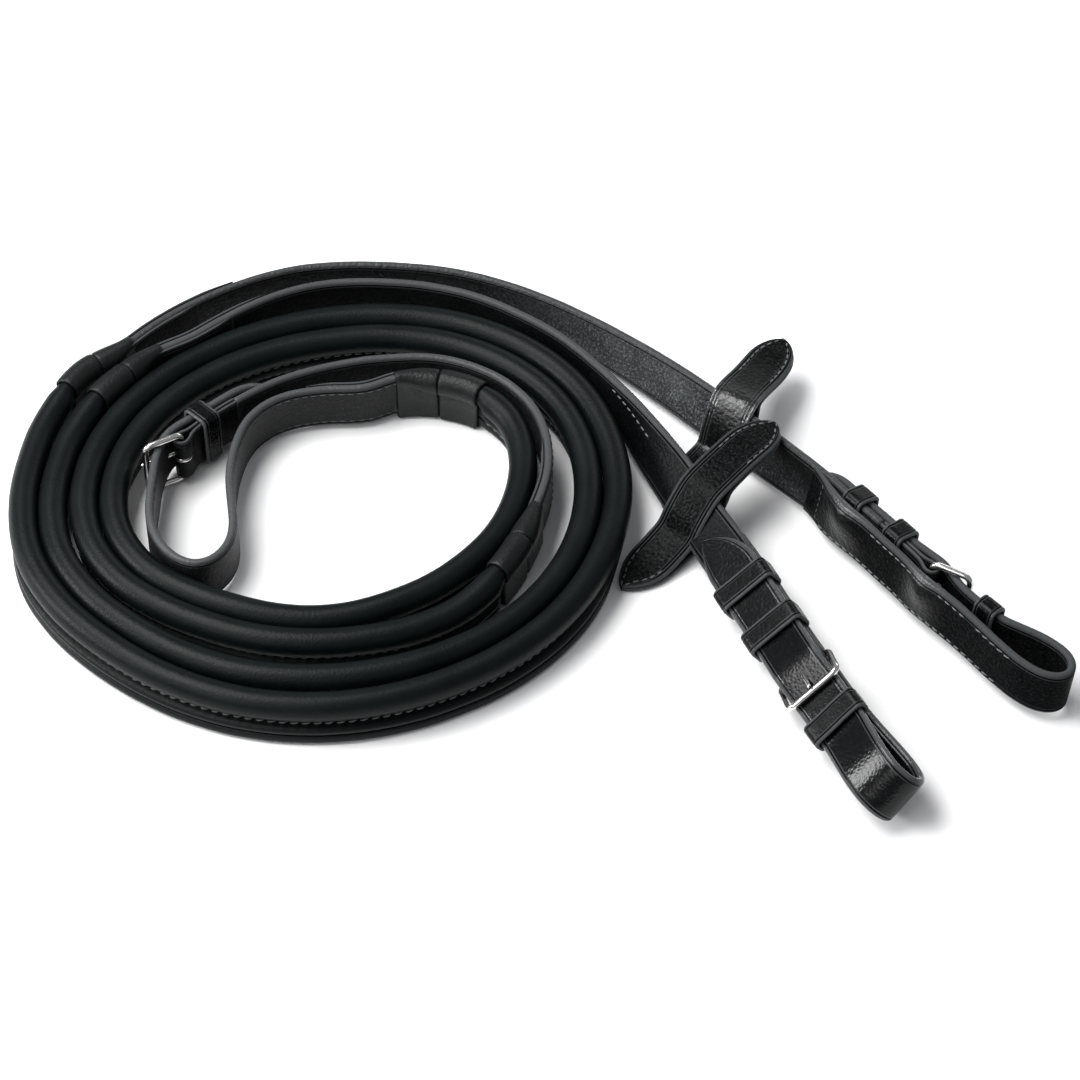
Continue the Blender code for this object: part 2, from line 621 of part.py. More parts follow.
def rein_stop(name, route, s, reaches, skews, rise, home, slot, tools):
    """Leather tab threaded on the strap through a slot between its two plies, pointed both ends."""
    tangent, width, through = route.axes(s)
    side = tangent.cross(Vector((0, 0, 1))).normalized()
    origin = route.point(s)
    lean = math.atan2(width.dot(side), width.z)
    wu = (math.sin(lean), math.cos(lean))
    vu = (math.cos(lean), -math.sin(lean))
    hole_w = STRAP_HALF + STOP_SLACK
    hole_v = STRAP_THICK / 2 + STOP_SLACK
    ply = STOP_PLY

    def spot(w, v):
        return (wu[0] * w + vu[0] * v, wu[1] * w + vu[1] * v)

    low = -origin.z + 0.4
    outer = [(-40.0, low), (-22.0, low), spot(-hole_w - ply, 0.9),
             spot(-hole_w, hole_v + ply), spot(hole_w - 1.0, hole_v + ply),
             spot(hole_w + ply, hole_v * 0.6), (22.0, rise - 1.6), (44.0, rise - 3.0),
             (44.0, rise - 0.6), (22.0, rise + 0.9), spot(hole_w + ply + 0.8, -1.2),
             spot(hole_w - 0.6, -hole_v - ply), spot(-hole_w + 1.0, -hole_v - ply),
             spot(-hole_w - ply * 0.6, -hole_v * 0.9), (-22.0, low + 2.4), (-40.0, low + 2.4)]
    inner = [spot(-hole_w, -hole_v), spot(hole_w, -hole_v), spot(hole_w, hole_v),
             spot(-hole_w, hole_v)]
    matrix = basis(side, Vector((0, 0, 1)), side.cross(Vector((0, 0, 1))), origin)
    body = curve_mesh(name, [outer, inner], True, 0.0, 24.0, matrix, home, slot)
    outline = stop_outline(reaches, skews)
    up = Vector((0, 0, 1))
    flat = basis(side, up.cross(side), up, origin)
    prism = curve_mesh(name + "_outline", [outline], True, 0.0, 40.0, flat, tools, slot)
    cut(body, [prism], "INTERSECT")
    return body


def build():
    clear_scene()
    home = collection(NAME)
    tools = collection("cutters")
    slots = {
        "strap": material("strap_leather", (0.018, 0.018, 0.019), 0.0, 0.45),
        "billet": material("billet_leather", (0.02, 0.02, 0.021), 0.0, 0.35),
        "keeper": material("keeper_leather", (0.014, 0.014, 0.015), 0.0, 0.35),
        "grip": material("grip_leather", (0.05, 0.055, 0.052), 0.0, 0.5),
        "core": material("core_cord", (0.25, 0.23, 0.2), 0.0, 0.8),
        "sleeve": material("sleeve_leather", (0.03, 0.032, 0.031), 0.0, 0.42),
        "stop": material("stop_leather", (0.02, 0.02, 0.021), 0.0, 0.4),
        "metal": material("nickel_plate", (0.72, 0.71, 0.69), 1.0, 0.22),
    }
    coils = {"a": polar(COIL_A), "b": polar(COIL_B)}
    reins = {"a": Route(BIT_A + coils["a"] + HAND_A), "b": Route(BIT_B + coils["b"] + HAND_B)}
    ends = {"a": (1, -2), "b": (2, -3)}
    for tag, route in reins.items():
        roll_start, roll_end = (route.near(*coils[tag][i][:2]) for i in ends[tag])
        strap_stop = roll_start - SLEEVE_BIT_LENGTH
        hand_start = roll_end + SLEEVE_HAND_LENGTH
        join_bit = strap_stop + SLEEVE_BIT_LENGTH * 0.45
        join_hand = hand_start - SLEEVE_HAND_LENGTH * 0.45
        mouths = (roll_start, roll_end)
        straight_strap("strap_" + tag, route, CHAPE_END + GAP, strap_stop + 5.0, 5.0, home,
                       slots["strap"])
        sleeve("sleeve_bit_" + tag, route, strap_stop, roll_start, home, slots["sleeve"])
        grip("grip_" + tag, route, join_bit, join_hand, mouths, home, slots["grip"])
        core("core_" + tag, route, join_bit + 0.5, join_hand - 0.5, mouths, home, slots["core"])
        sleeve("sleeve_hand_" + tag, route, hand_start, roll_end, home, slots["sleeve"])
        hand_end = route.length if tag == "b" else route.length - CHAPE_REACH - GAP
        straight_strap("hand_" + tag, route, hand_start - 5.0, hand_end, 5.0, home,
                       slots["strap"], tip=tag == "b")
    bit_end("a", reins["a"], 1, home, slots, tools)
    bit_end("b", reins["b"], -1, home, slots, tools)
    rein_stop("stop_a", reins["a"], reins["a"].near(58.4, 38.4), (38.0, 33.0), (17.0, 7.0), 5.0,
              home, slots["stop"], tools)
    rein_stop("stop_b", reins["b"], reins["b"].near(46.5, 2.9), (37.0, 33.5), (21.0, 21.0), 10.0,
              home, slots["stop"], tools)

    route = reins["a"]
    heel = route.point(route.length)
    tangent, width, through = route.axes(route.length)
    end = Vector((*HAND_END_BAR, heel.z)) - PLAN_CENTRE
    frame = buckle("buckle_hand", heel, end, width, through, home, slots["metal"])
    middle = frame @ Matrix.Translation(Vector((5.2, 0.0, 2.4)) * MM)
    hole = box_cutter("hand_b_hole", middle, (8.6, 2.6, 4.6), tools)
    cut(bpy.data.objects["hand_b"], [hole], "DIFFERENCE")
    chape("chape_hand", route, route.length, -1.0, home, slots["strap"], tools)
    keeper("keeper_hand", route, route.length - 11.0, -1.8, 5.6, HAND_KEEPER_WIDTH, home,
           slots["keeper"])


build()
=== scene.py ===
import math

import bpy
import numpy as np
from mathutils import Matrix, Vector, noise


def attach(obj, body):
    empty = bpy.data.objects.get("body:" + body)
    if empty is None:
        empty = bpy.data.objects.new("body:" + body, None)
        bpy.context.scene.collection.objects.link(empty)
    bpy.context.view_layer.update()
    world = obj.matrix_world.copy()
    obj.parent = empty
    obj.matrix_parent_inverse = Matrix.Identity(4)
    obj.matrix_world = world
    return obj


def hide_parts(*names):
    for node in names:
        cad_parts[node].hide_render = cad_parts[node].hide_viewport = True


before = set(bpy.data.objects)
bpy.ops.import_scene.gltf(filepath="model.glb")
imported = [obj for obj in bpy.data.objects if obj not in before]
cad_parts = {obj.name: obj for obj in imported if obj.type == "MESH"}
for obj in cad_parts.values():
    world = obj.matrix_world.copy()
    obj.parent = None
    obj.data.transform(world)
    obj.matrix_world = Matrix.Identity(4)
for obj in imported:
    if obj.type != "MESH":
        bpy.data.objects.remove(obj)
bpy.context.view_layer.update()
MM = 0.001

# Lay of each half rein in mm: x, y, height of the strap's middle, outward lean in degrees.
# The rolled part is given about the coil's middle as angle, radius, height, lean.
PLAN_CENTRE = np.array((-2.703, -3.647, -0.013))
COIL_X = -66.9
COIL_Y = 5.4
BIT_A = [
    (151.6, -67.2, 10.4, 5), (141.0, -58.4, 10.9, 6), (129.0, -47.3, 11.3, 7),
    (118.2, -33.6, 11.4, 8), (106.2, -17.1, 11.2, 8), (95.2, -3.0, 10.9, 10),
    (86.0, 9.0, 10.2, 15), (77.3, 18.6, 9.8, 20), (68.4, 28.0, 9.6, 25),
    (58.4, 38.4, 9.6, 25), (50.0, 47.0, 9.6, 24), (40.5, 56.4, 9.6, 20),
    (29.5, 66.4, 9.6, 14), (18.0, 75.9, 9.6, 8), (6.0, 84.6, 9.6, 4),
    (-6.5, 91.8, 9.6, 2), (-19.0, 97.4, 9.6, 0), (-32.0, 100.9, 9.6, 0),
    (-46.0, 102.6, 9.6, 0), (-62.0, 103.0, 9.6, 0), (-78.0, 101.0, 9.6, 0),
    (-92.0, 95.8, 9.6, 0), (-104.0, 89.1, 9.6, 0), (-114.3, 81.7, 9.6, 0),
    (-123.0, 73.6, 9.7, 0), (-130.2, 65.6, 9.7, 0),
]
COIL_A = [
    (145, 90.6, 9.7, 0), (151, 90.6, 9.6, 0), (158, 90.4, 8.6, 0), (165, 90.0, 8.1, 0),
    (180, 89.3, 8.1, -5), (195, 88.5, 8.1, -9), (210, 85.6, 8.1, -9), (225, 82.6, 8.1, -9),
    (240, 81.4, 8.1, -9), (255, 81.1, 8.1, -9), (270, 81.1, 8.1, -9), (285, 81.5, 8.1, -9),
    (300, 82.6, 8.1, -9), (315, 84.6, 8.1, -9), (330, 86.8, 8.1, -8), (345, 88.7, 8.1, -5),
    (360, 90.4, 8.05, 0), (375, 91.5, 8, 0), (390, 91.7, 8, 0), (405, 89.8, 8, 0),
    (420, 86.1, 8, 0), (435, 81.5, 8, 0), (450, 77.3, 8, 0), (465, 74.2, 8, 0),
    (480, 72.4, 8, 0), (495, 71.6, 8, 0), (510, 71.5, 8, 0), (525, 71.3, 8, 0),
    (540, 70.8, 8, 0), (555, 69.2, 8, 0), (570, 65.8, 8, 0), (585, 61.2, 8, 0),
    (600, 58.1, 8, 0), (615, 56.8, 8, 0), (630, 56.4, 8, 0), (645, 57.2, 8, 0),
    (660, 59.4, 8, 0), (675, 61.8, 8.2, 0), (690, 63.0, 9.6, 0), (703, 64.2, 9.7, 0),
]
HAND_A = [
    (-0.6, 0.8, 9.6, 0), (2.3, 12.8, 9.6, 0), (2.2, 25.6, 9.6, 0), (-0.6, 37.0, 9.6, 0),
    (-6.4, 46.6, 9.6, 0), (-15.8, 54.9, 9.6, 0), (-31.0, 61.2, 9.6, 0),
    (-49.5, 61.0, 9.6, 0), (-67.0, 56.9, 9.8, 0), (-81.0, 50.7, 10.2, 0),
    (-91.6, 42.9, 10.7, 0), (-98.9, 36.5, 10.9, 0), (-104.5, 30.6, 10.9, 0),
    (-109.0, 25.0, 10.9, 0),
]
BIT_B = [
    (101.4, -108.2, 11.1, 43), (94.8, -96.0, 11.1, 46), (87.8, -83.0, 11.0, 51),
    (79.3, -66.3, 10.7, 55), (70.7, -48.6, 10.6, 56), (63.0, -31.8, 10.6, 56),
    (56.1, -17.0, 10.6, 56), (53.6, -11.8, 10.6, 53), (50.6, -5.6, 10.5, 46),
    (46.5, 2.9, 10.6, 44), (42.3, 11.6, 10.9, 43), (37.5, 21.3, 11.1, 36),
    (32.2, 32.0, 10.9, 24), (26.2, 44.2, 10.0, 12), (17.8, 57.0, 9.6, 5), (6.5, 70.4, 9.6, 2),
    (-6.5, 80.8, 9.6, 0), (-21.0, 89.0, 9.6, 0), (-36.0, 93.6, 9.6, 0),
    (-52.0, 95.3, 9.6, 0), (-67.0, 94.6, 9.6, 0), (-80.0, 90.8, 9.6, 0),
    (-90.8, 84.8, 9.6, 0), (-100.6, 77.6, 9.6, 0), (-109.4, 70.2, 9.6, 0),
]
COIL_B = [
    (133, 79.2, 9.7, 0), (141, 79.6, 9.7, 0), (150, 80.3, 9.6, 0), (158, 80.6, 8.6, 0),
    (165, 80.6, 8.1, 0), (180, 80.1, 8, 0), (195, 79.1, 8, 0), (210, 76.1, 8, 0),
    (225, 72.8, 8, 0), (240, 71.2, 8, 0), (255, 70.4, 8, 0), (270, 70.0, 8, 0),
    (285, 70.6, 8, 0), (300, 72.3, 8, 0), (315, 74.9, 8, 0), (330, 77.4, 8, 0),
    (345, 79.6, 8, 0), (360, 81.4, 8, 0), (375, 82.6, 8, 0), (390, 82.7, 8, 0),
    (405, 80.4, 8, 0), (420, 76.6, 8, 0), (435, 71.9, 8, 0), (450, 67.5, 8, 0),
    (465, 64.9, 8, 0), (480, 63.4, 8, 0), (495, 62.7, 8, 0), (510, 62.6, 8, 0),
    (525, 62.4, 8, 0), (540, 61.8, 8, 0), (555, 60.2, 8, 0), (570, 56.8, 8, 0),
    (585, 52.2, 8.1, 2), (600, 48.2, 8.2, 14), (615, 45.8, 7.9, 26), (630, 45.0, 7.7, 30),
    (645, 45.2, 7.8, 28), (660, 46.4, 8.1, 20), (675, 49.0, 8.2, 10), (690, 52.2, 8.1, 0),
    (705, 55.9, 8, 0), (720, 59.8, 8, 0), (735, 64.0, 8, 0), (749, 66.5, 8.4, 0),
    (761, 64.4, 9.6, 0), (773, 59.2, 9.7, 0), (784, 52.8, 9.7, 0),
]
HAND_B = [
    (-53.5, 48.3, 9.6, 0), (-67.5, 47.5, 9.6, 0), (-80.0, 44.2, 9.6, 0),
    (-88.6, 36.4, 9.6, 0), (-92.6, 24.3, 9.6, 0), (-93.7, 10.4, 9.6, 0),
    (-92.0, -2.7, 9.6, 0), (-91.6, -13.0, 9.6, 0), (-95.0, -21.0, 9.6, 0),
    (-101.3, -24.6, 9.6, 0), (-107.8, -22.0, 9.6, 0), (-113.0, -16.0, 9.8, 0),
    (-116.2, -8.3, 10.0, 0), (-117.0, 1.0, 10.4, 0), (-116.7, 9.0, 10.8, 0),
    (-116.5, 15.8, 10.9, 0), (-115.6, 21.4, 10.9, 0), (-114.3, 26.4, 10.9, 0),
    (-111.4, 30.3, 10.9, 0), (-106.9, 33.8, 10.9, 0), (-101.3, 39.0, 10.9, 0),
    (-93.9, 45.6, 10.7, 0), (-82.6, 53.8, 10.3, 0),
]
HAND_END_BAR = (-119.6, 19.2)

# Billet and chape beside the strap: distance, offset across the layers
BILLET_PATH = [
    (106.0, -2.3), (99.0, -3.2), (93.0, -4.3), (86.0, -4.4), (79.0, -4.1), (70.0, -4.4),
    (62.0, -4.3), (54.0, -4.7), (45.0, -3.9), (37.0, -3.4), (29.0, -3.9), (21.0, -5.3),
    (12.5, -6.5), (5.5, -5.9), (1.4, -3.4), (0.0, 0.0), (1.4, 3.4), (5.5, 5.9),
    (12.5, 6.3), (20.0, 4.9), (26.0, 3.5), (32.0, 3.1), (37.0, 2.9), (43.0, 2.9),
    (48.0, 3.7), (54.0, 4.7), (60.0, 3.9), (65.0, 3.1), (70.0, 3.0), (80.0, 3.0),
    (90.0, 3.0), (100.0, 3.0), (110.0, 3.0),
]
CHAPE_PATH = [
    (22.0, 0.7), (14.0, 0.7), (6.0, 0.8), (3.6, 1.1), (1.8, 1.75), (0.0, 2.1), (-1.5, 1.5),
    (-2.1, 0.0), (-1.5, -1.5), (0.0, -2.1), (1.8, -1.75), (3.6, -1.1), (6.0, -0.8),
    (14.0, -0.7), (22.0, -0.7),
]

# Sizes in mm; bars and the chape's end are distances along a rein from its bit end
STRAP_HALF = 8.0
STRAP_HALF_THICK = 1.3
ROLL_RADIUS = 4.38
NECK_RADIUS = 3.1
FIN_HALF = 1.35
END_BAR = 43.0
HEEL_BAR = 54.0
CHAPE_END = 76.0
CHAPE_HALF_THICK = 0.48
BILLET_HALF_THICK = 1.2
SKIVED = (96.0, 106.0)
OGIVE = 15.0
BIT_WRAP = 27.0
HAND_WRAP = 28.0
WRAP_REACH = 0.45
OUTLINE_TURNS = 22
FLANGE = 1.35
STITCH_PITCH = 3.3
WIRE_RADIUS = 1.0
WIRE_SIDES = 16
# Place in plan where roll A's lower band passes stop B
BESIDE_STOP = (24.3, -12.7)
BUCKLE_HALF = 9.3
BUCKLE_CORNER = 2.4
TONGUE_RADIUS = 0.8
TONGUE_TIP_RADIUS = 0.55
TONGUE_BEND = 2.1
KEEPER_THICK = 1.15
KEEPER_WIDTH = 7.5
HAND_KEEPER_WIDTH = 6.5
HAND_A_SHORT = 22.3
STOP_A_PLACE = (58.4, 38.4)
STOP_B_PLACE = (46.5, 2.9)
STOP_HALF_WIDTH = 7.5
STOP_PLY_HALF = 0.6
# Half width and half depth of the opening the strap passes through
HOLE_W = 8.8
HOLE_V = 2.1
OVER_PLY_INSET = 0.25


# ---- Lay of the reins

def polar(points):
    """Turn angle and radius about the coil's middle into plan positions."""
    made = []
    for angle, radius, height, lean in points:
        turn = math.radians(angle)
        made.append((COIL_X + radius * math.cos(turn), COIL_Y + radius * math.sin(turn),
                     height, lean))
    return made


def ease(x):
    """Gentle start and stop between 0 and 1."""
    return x * x * (3 - 2 * x)


def travelled(points):
    """Distance covered at each of a row of points."""
    return np.concatenate([[0], np.cumsum(np.linalg.norm(np.diff(points, axis=0), axis=1))])


def resample(places, run, table):
    """Columns of a table read at other distances."""
    return np.column_stack([np.interp(places, run, column) for column in table.T])


def smooth(points, step):
    """Smooth curve through given rows, as rows about one step apart."""
    rows = np.array(points, float)
    size = 3 if rows.shape[1] > 2 else 2
    along = travelled(rows[:, :size])
    lo = np.maximum(np.arange(len(rows)) - 1, 0)
    hi = np.minimum(np.arange(len(rows)) + 1, len(rows) - 1)
    slopes = (rows[hi] - rows[lo]) / (along[hi] - along[lo])[:, None]
    made = []
    for i in range(len(rows) - 1):
        span = along[i + 1] - along[i]
        count = max(1, round(span / step))
        t = (np.arange(count) / count)[:, None]
        made.append((2 * t ** 3 - 3 * t ** 2 + 1) * rows[i] + (t ** 3 - 2 * t ** 2 + t) * span * slopes[i]
                    + (3 * t ** 2 - 2 * t ** 3) * rows[i + 1] + (t ** 3 - t ** 2) * span * slopes[i + 1])
    return np.vstack(made + [rows[-1:]])


def unit(v):
    return v / np.linalg.norm(v, axis=-1, keepdims=True)


def soften(values, width):
    """Gaussian smoothing along the first axis, with both ends held."""
    reach = int(width * 3)
    weights = np.exp(-0.5 * (np.arange(-reach, reach + 1) / width) ** 2)
    weights /= weights.sum()
    made = np.empty_like(values)
    for k in range(values.shape[1]):
        column = values[:, k]
        padded = np.concatenate([2 * column[0] - column[reach:0:-1], column,
                                 2 * column[-1] - column[-2:-reach - 2:-1]])
        made[:, k] = np.convolve(padded, weights, "valid")
    return made


class Route:
    """Middle line of one half rein, with the strap's own directions at any distance along it."""

    def __init__(self, points):
        rows = smooth(points, 0.5)
        place = rows[:, :3] - PLAN_CENTRE
        run = travelled(place)
        self.length = run[-1]
        self.s = np.arange(0, self.length, 0.5)
        even = soften(resample(self.s, run, np.column_stack([place, rows[:, 3]])), 6)
        self.p = even[:, :3]
        t = unit(np.gradient(self.p, axis=0))
        side = unit(np.cross(t, (0, 0, 1)))
        up = np.cross(side, t)
        lean = np.radians(even[:, 3])[:, None]
        self.t = t
        self.w = up * np.cos(lean) + side * np.sin(lean)
        self.v = np.cross(t, self.w)

    def at(self, s, u=0.0, v=0.0):
        """Points at distances s, u across the width and v through the thickness."""
        s = np.atleast_1d(s).astype(float)
        u = np.broadcast_to(u, s.shape)[:, None]
        v = np.broadcast_to(v, s.shape)[:, None]
        return (resample(s, self.s, self.p) + resample(s, self.s, self.w) * u
                + resample(s, self.s, self.v) * v)

    def axes(self, s):
        """Directions along the strap, up its width and outward through its thickness."""
        s = np.atleast_1d(s).astype(float)
        return tuple(unit(resample(s, self.s, table)) for table in (self.t, self.w, self.v))

    def near(self, x, y):
        """Distance along the strap where it passes a place in plan."""
        target = np.array((x, y)) - PLAN_CENTRE[:2]
        return float(self.s[np.argmin(np.linalg.norm(self.p[:, :2] - target, axis=1))])


# ---- Materials

def principled(name, values):
    """New material with its node tree and its shader, some of the shader's values set."""
    material = bpy.data.materials.new(name)
    material.use_nodes = True
    shader = material.node_tree.nodes["Principled BSDF"]
    for key, value in values.items():
        shader.inputs[key].default_value = value
    return material, material.node_tree, shader


def node(tree, kind, **values):
    made = tree.nodes.new(kind)
    for key, value in values.items():
        if key in made.inputs:
            made.inputs[key].default_value = value
        else:
            setattr(made, key, value)
    return made


def ramp(tree, source, low, high, out_low=0.0, out_high=1.0):
    made = node(tree, "ShaderNodeMapRange")
    tree.links.new(source, made.inputs["Value"])
    for name, value in (("From Min", low), ("From Max", high), ("To Min", out_low), ("To Max", out_high)):
        made.inputs[name].default_value = value
    return made.outputs["Result"]


def mix(tree, factor, a, b):
    """Colour mix; a and b are colours or sockets."""
    made = tree.nodes.new("ShaderNodeMix")
    made.data_type = "RGBA"
    tree.links.new(factor, made.inputs[0])
    for slot, value in ((6, a), (7, b)):
        if isinstance(value, tuple):
            made.inputs[slot].default_value = (*value, 1.0)
        else:
            tree.links.new(value, made.inputs[slot])
    return made.outputs[2]


def math_node(tree, operation, a, b):
    made = node(tree, "ShaderNodeMath", operation=operation)
    for slot, value in ((0, a), (1, b)):
        if isinstance(value, float):
            made.inputs[slot].default_value = value
        else:
            tree.links.new(value, made.inputs[slot])
    return made.outputs[0]


def texture(tree, kind, scale, **values):
    where = node(tree, "ShaderNodeTexCoord")
    made = node(tree, kind, Scale=scale, **values)
    tree.links.new(where.outputs["Object"], made.inputs["Vector"])
    return made


def cloudy(tree, scale, detail, rough):
    """Level of a noise pattern."""
    return texture(tree, "ShaderNodeTexNoise", scale, Detail=detail, Roughness=rough).outputs["Fac"]


def attribute(tree, name):
    return node(tree, "ShaderNodeAttribute", attribute_name=name).outputs["Fac"]


def roughen(tree, shader, height, strength, distance):
    """Fine relief on a shaded surface."""
    bump = node(tree, "ShaderNodeBump", Strength=strength, Distance=distance)
    tree.links.new(height, bump.inputs["Height"])
    tree.links.new(bump.outputs["Normal"], shader.inputs["Normal"])


def leather(name, base, worn, edge, rough, spec, grain, coat=0.0, pebble=1100.0, speckle=0.0,
            wrinkle=0.0, tone_and_shade=False, polish=0.0):
    """Dyed leather: pebbled grain, cloudy dyed tone, burnished edges lightened partly as a painted
    highlight, pressed lines darkened as painted shade.

    A mark can darken a piece along its length and paint shade and highlight across its width, and polish
    adds shine where it is rubbed smooth.
    """
    material, tree, shader = principled(name, {"Coat Weight": coat, "Coat Roughness": 0.22})
    cloud = cloudy(tree, 55.0, 5.0, 0.6)
    fine = cloudy(tree, 1900.0, 3.0, 0.6)
    cells = texture(tree, "ShaderNodeTexVoronoi", pebble, feature="SMOOTH_F1", Smoothness=0.7,
                    Randomness=1.0).outputs["Distance"]
    tone = math_node(tree, "ADD", ramp(tree, cloud, 0.3, 0.7, 0.0, 0.75),
                     ramp(tree, fine, 0.35, 0.7, 0.0, 0.25))
    colour = mix(tree, tone, base, worn)
    if speckle:
        flecks = ramp(tree, cloudy(tree, 1500.0, 4.0, 0.75), 0.5, 0.72, 0.0, speckle)
        colour = mix(tree, flecks, colour, tuple(min(1.0, c * 3.2 + 0.02) for c in worn))
    # Painted shade and highlight: a per-point mark darkens the colour
    if tone_and_shade:
        colour = mix(tree, attribute(tree, "tone_and_shade"), colour, tuple(c * 0.5 for c in base))
    # Burnished edges lightened: partly the burnish, partly a painted highlight
    burnish_and_highlight = attribute(tree, "edge")
    colour = mix(tree, burnish_and_highlight, colour, edge)
    # Painted shade: pressed lines, stitch hollows and crevices are darkened
    line = attribute(tree, "line")
    colour = mix(tree, math_node(tree, "MULTIPLY", line, 0.75), colour, tuple(c * 0.15 for c in base))
    tree.links.new(colour, shader.inputs["Base Color"])
    shine = ramp(tree, line, 0.0, 1.0, spec, spec * 0.15)
    if polish:
        rubbed = math_node(tree, "MULTIPLY", attribute(tree, "polish"), polish)
        shine = math_node(tree, "ADD", shine, rubbed)
    tree.links.new(shine, shader.inputs["Specular IOR Level"])
    gloss = ramp(tree, math_node(tree, "ADD", math_node(tree, "MULTIPLY", cloud, 0.6),
                                 math_node(tree, "MULTIPLY", cells, 0.4)), 0.25, 0.65, *rough)
    gloss = math_node(tree, "SUBTRACT", gloss, math_node(tree, "MULTIPLY", burnish_and_highlight, 0.12))
    tree.links.new(gloss, shader.inputs["Roughness"])
    height = math_node(tree, "ADD", math_node(tree, "MULTIPLY", cells, 1.0),
                       math_node(tree, "MULTIPLY", fine, 0.35))
    if wrinkle:
        folds = texture(tree, "ShaderNodeTexNoise", 760.0, Detail=2.0, Roughness=0.5, Distortion=1.2)
        height = math_node(tree, "ADD", height, math_node(tree, "MULTIPLY", folds.outputs["Fac"], wrinkle))
    roughen(tree, shader, height, grain, 0.0004)
    return material


def thread_material(name, low, high):
    """Twisted waxed thread between two colours."""
    material, tree, shader = principled(name, {"Specular IOR Level": 0.4, "Sheen Weight": 0.15})
    twist = cloudy(tree, 2600.0, 2.0, 0.6)
    tree.links.new(mix(tree, ramp(tree, twist, 0.35, 0.65), low, high), shader.inputs["Base Color"])
    tree.links.new(ramp(tree, twist, 0.3, 0.7, 0.38, 0.6), shader.inputs["Roughness"])
    roughen(tree, shader, twist, 0.4, 0.0002)
    return material


def nickel_material():
    """Bright plated metal with faint haze and scratches."""
    material, tree, shader = principled("bright_nickel", {"Metallic": 1.0})
    haze = cloudy(tree, 260.0, 4.0, 0.65)
    scratch = cloudy(tree, 1500.0, 2.0, 0.5)
    tree.links.new(mix(tree, ramp(tree, haze, 0.35, 0.7), (0.78, 0.77, 0.75), (0.56, 0.55, 0.53)),
                   shader.inputs["Base Color"])
    tree.links.new(ramp(tree, haze, 0.3, 0.7, 0.12, 0.26), shader.inputs["Roughness"])
    roughen(tree, shader, scratch, 0.06, 0.0002)
    return material


# The third colour of each leather is its burnished edge colour, lightened partly as a painted highlight
GRIP = leather("grip_leather", (0.0013, 0.0023, 0.0024), (0.0034, 0.0053, 0.0054),
               (0.01417, 0.01625, 0.016), spec=0.117, rough=(0.36, 0.46), pebble=1500.0, grain=0.14)
SLEEVE = leather("sleeve_leather", (0.00383, 0.00467, 0.00467), (0.00875, 0.01042, 0.01042),
                 (0.015, 0.01625, 0.016), spec=0.183, rough=(0.34, 0.46), pebble=1300.0, grain=0.24,
                 wrinkle=0.35)
STRAP = leather("strap_leather", (0.00067, 0.00083, 0.001), (0.00333, 0.00375, 0.00408),
                (0.05167, 0.05417, 0.05583), spec=0.067, rough=(0.32, 0.46), grain=0.28, speckle=0.3)
HAND = leather("hand_leather", (0.002, 0.00217, 0.00233), (0.00958, 0.01017, 0.01067),
               (0.05167, 0.05417, 0.05583), spec=0.133, rough=(0.34, 0.48), grain=0.3, speckle=0.5)
# Rein A's face: speckled grain, its pale grey partly a painted sheen standing in for light on the strap
# leather
REIN_A_SHEEN_LEATHER = leather("rein_a_leather", (0.00417, 0.00483, 0.00517), (0.07083, 0.07583, 0.07833),
                (0.0375, 0.03917, 0.04), spec=0.167, rough=(0.42, 0.6), grain=0.7, speckle=1.0,
                pebble=900.0, tone_and_shade=True)
BILLET = leather("billet_leather", (0.00033, 0.0005, 0.00067), (0.0015, 0.00175, 0.002),
                 (0.06167, 0.065, 0.06667), spec=0.217, rough=(0.15, 0.23), coat=0.03, grain=0.16,
                 wrinkle=0.1, speckle=0.3)
BACK = leather("billet_back_leather", (0.00033, 0.00042, 0.00058), (0.002, 0.00233, 0.00258),
               (0.05167, 0.055, 0.05667), spec=0.015, rough=(0.26, 0.4), grain=0.4, wrinkle=0.2,
               speckle=0.6, pebble=900.0, polish=0.26)
KEEPER = leather("keeper_leather", (0.00042, 0.00058, 0.00075), (0.00183, 0.00208, 0.00233),
                 (0.07, 0.07417, 0.07667), spec=0.083, rough=(0.22, 0.34), coat=0.03, grain=0.18,
                 wrinkle=0.1, speckle=0.4)
STOP = leather("stop_leather", (0.00025, 0.00033, 0.00042), (0.0015, 0.00175, 0.00192),
               (0.05417, 0.05833, 0.06), spec=0.042, rough=(0.24, 0.36), grain=0.5, wrinkle=0.35,
               speckle=1.0, pebble=900.0, polish=0.7)
# The threads' pale colours are partly the thread's own grey and partly a painted highlight
THREAD = thread_material("waxed_thread", (0.02, 0.0205, 0.021), (0.08, 0.082, 0.083))
PALE_THREAD = thread_material("pale_thread", (0.05, 0.052, 0.053), (0.16, 0.165, 0.17))
NICKEL = nickel_material()


# ---- Mesh helpers

# Share of edge colour painted as a highlight on the leather raised beside a pressed line
SHOULDER_HIGHLIGHT = 0.6

def quads(n, m, first=0, closed=False):
    """Faces between n rings of m points."""
    i = np.arange(n if closed else n - 1)[:, None]
    j = np.arange(m)[None, :]
    a = i * m + j
    b = i * m + (j + 1) % m
    c = ((i + 1) % n) * m + (j + 1) % m
    d = ((i + 1) % n) * m + j
    return (np.stack([a, b, c, d], -1).reshape(-1, 4) + first).tolist()


def in_scene(name, data):
    """New object in the scene."""
    obj = bpy.data.objects.new(name, data)
    bpy.context.scene.collection.objects.link(obj)
    return obj


def mesh_object(name, verts, faces, material, body, marks=None):
    """Make a smooth-shaded piece from points in mm and let it ride on a body."""
    mesh = bpy.data.meshes.new(name)
    mesh.from_pydata((np.asarray(verts, float) * MM).tolist(), [], faces)
    mesh.update()
    for key, values in (marks or {}).items():
        layer = mesh.attributes.new(key, "FLOAT", "POINT")
        layer.data.foreach_set("value", np.asarray(values, np.float32).ravel())
    mesh.shade_smooth()
    mesh.materials.append(material)
    obj = in_scene(name, mesh)
    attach(obj, body)
    return obj


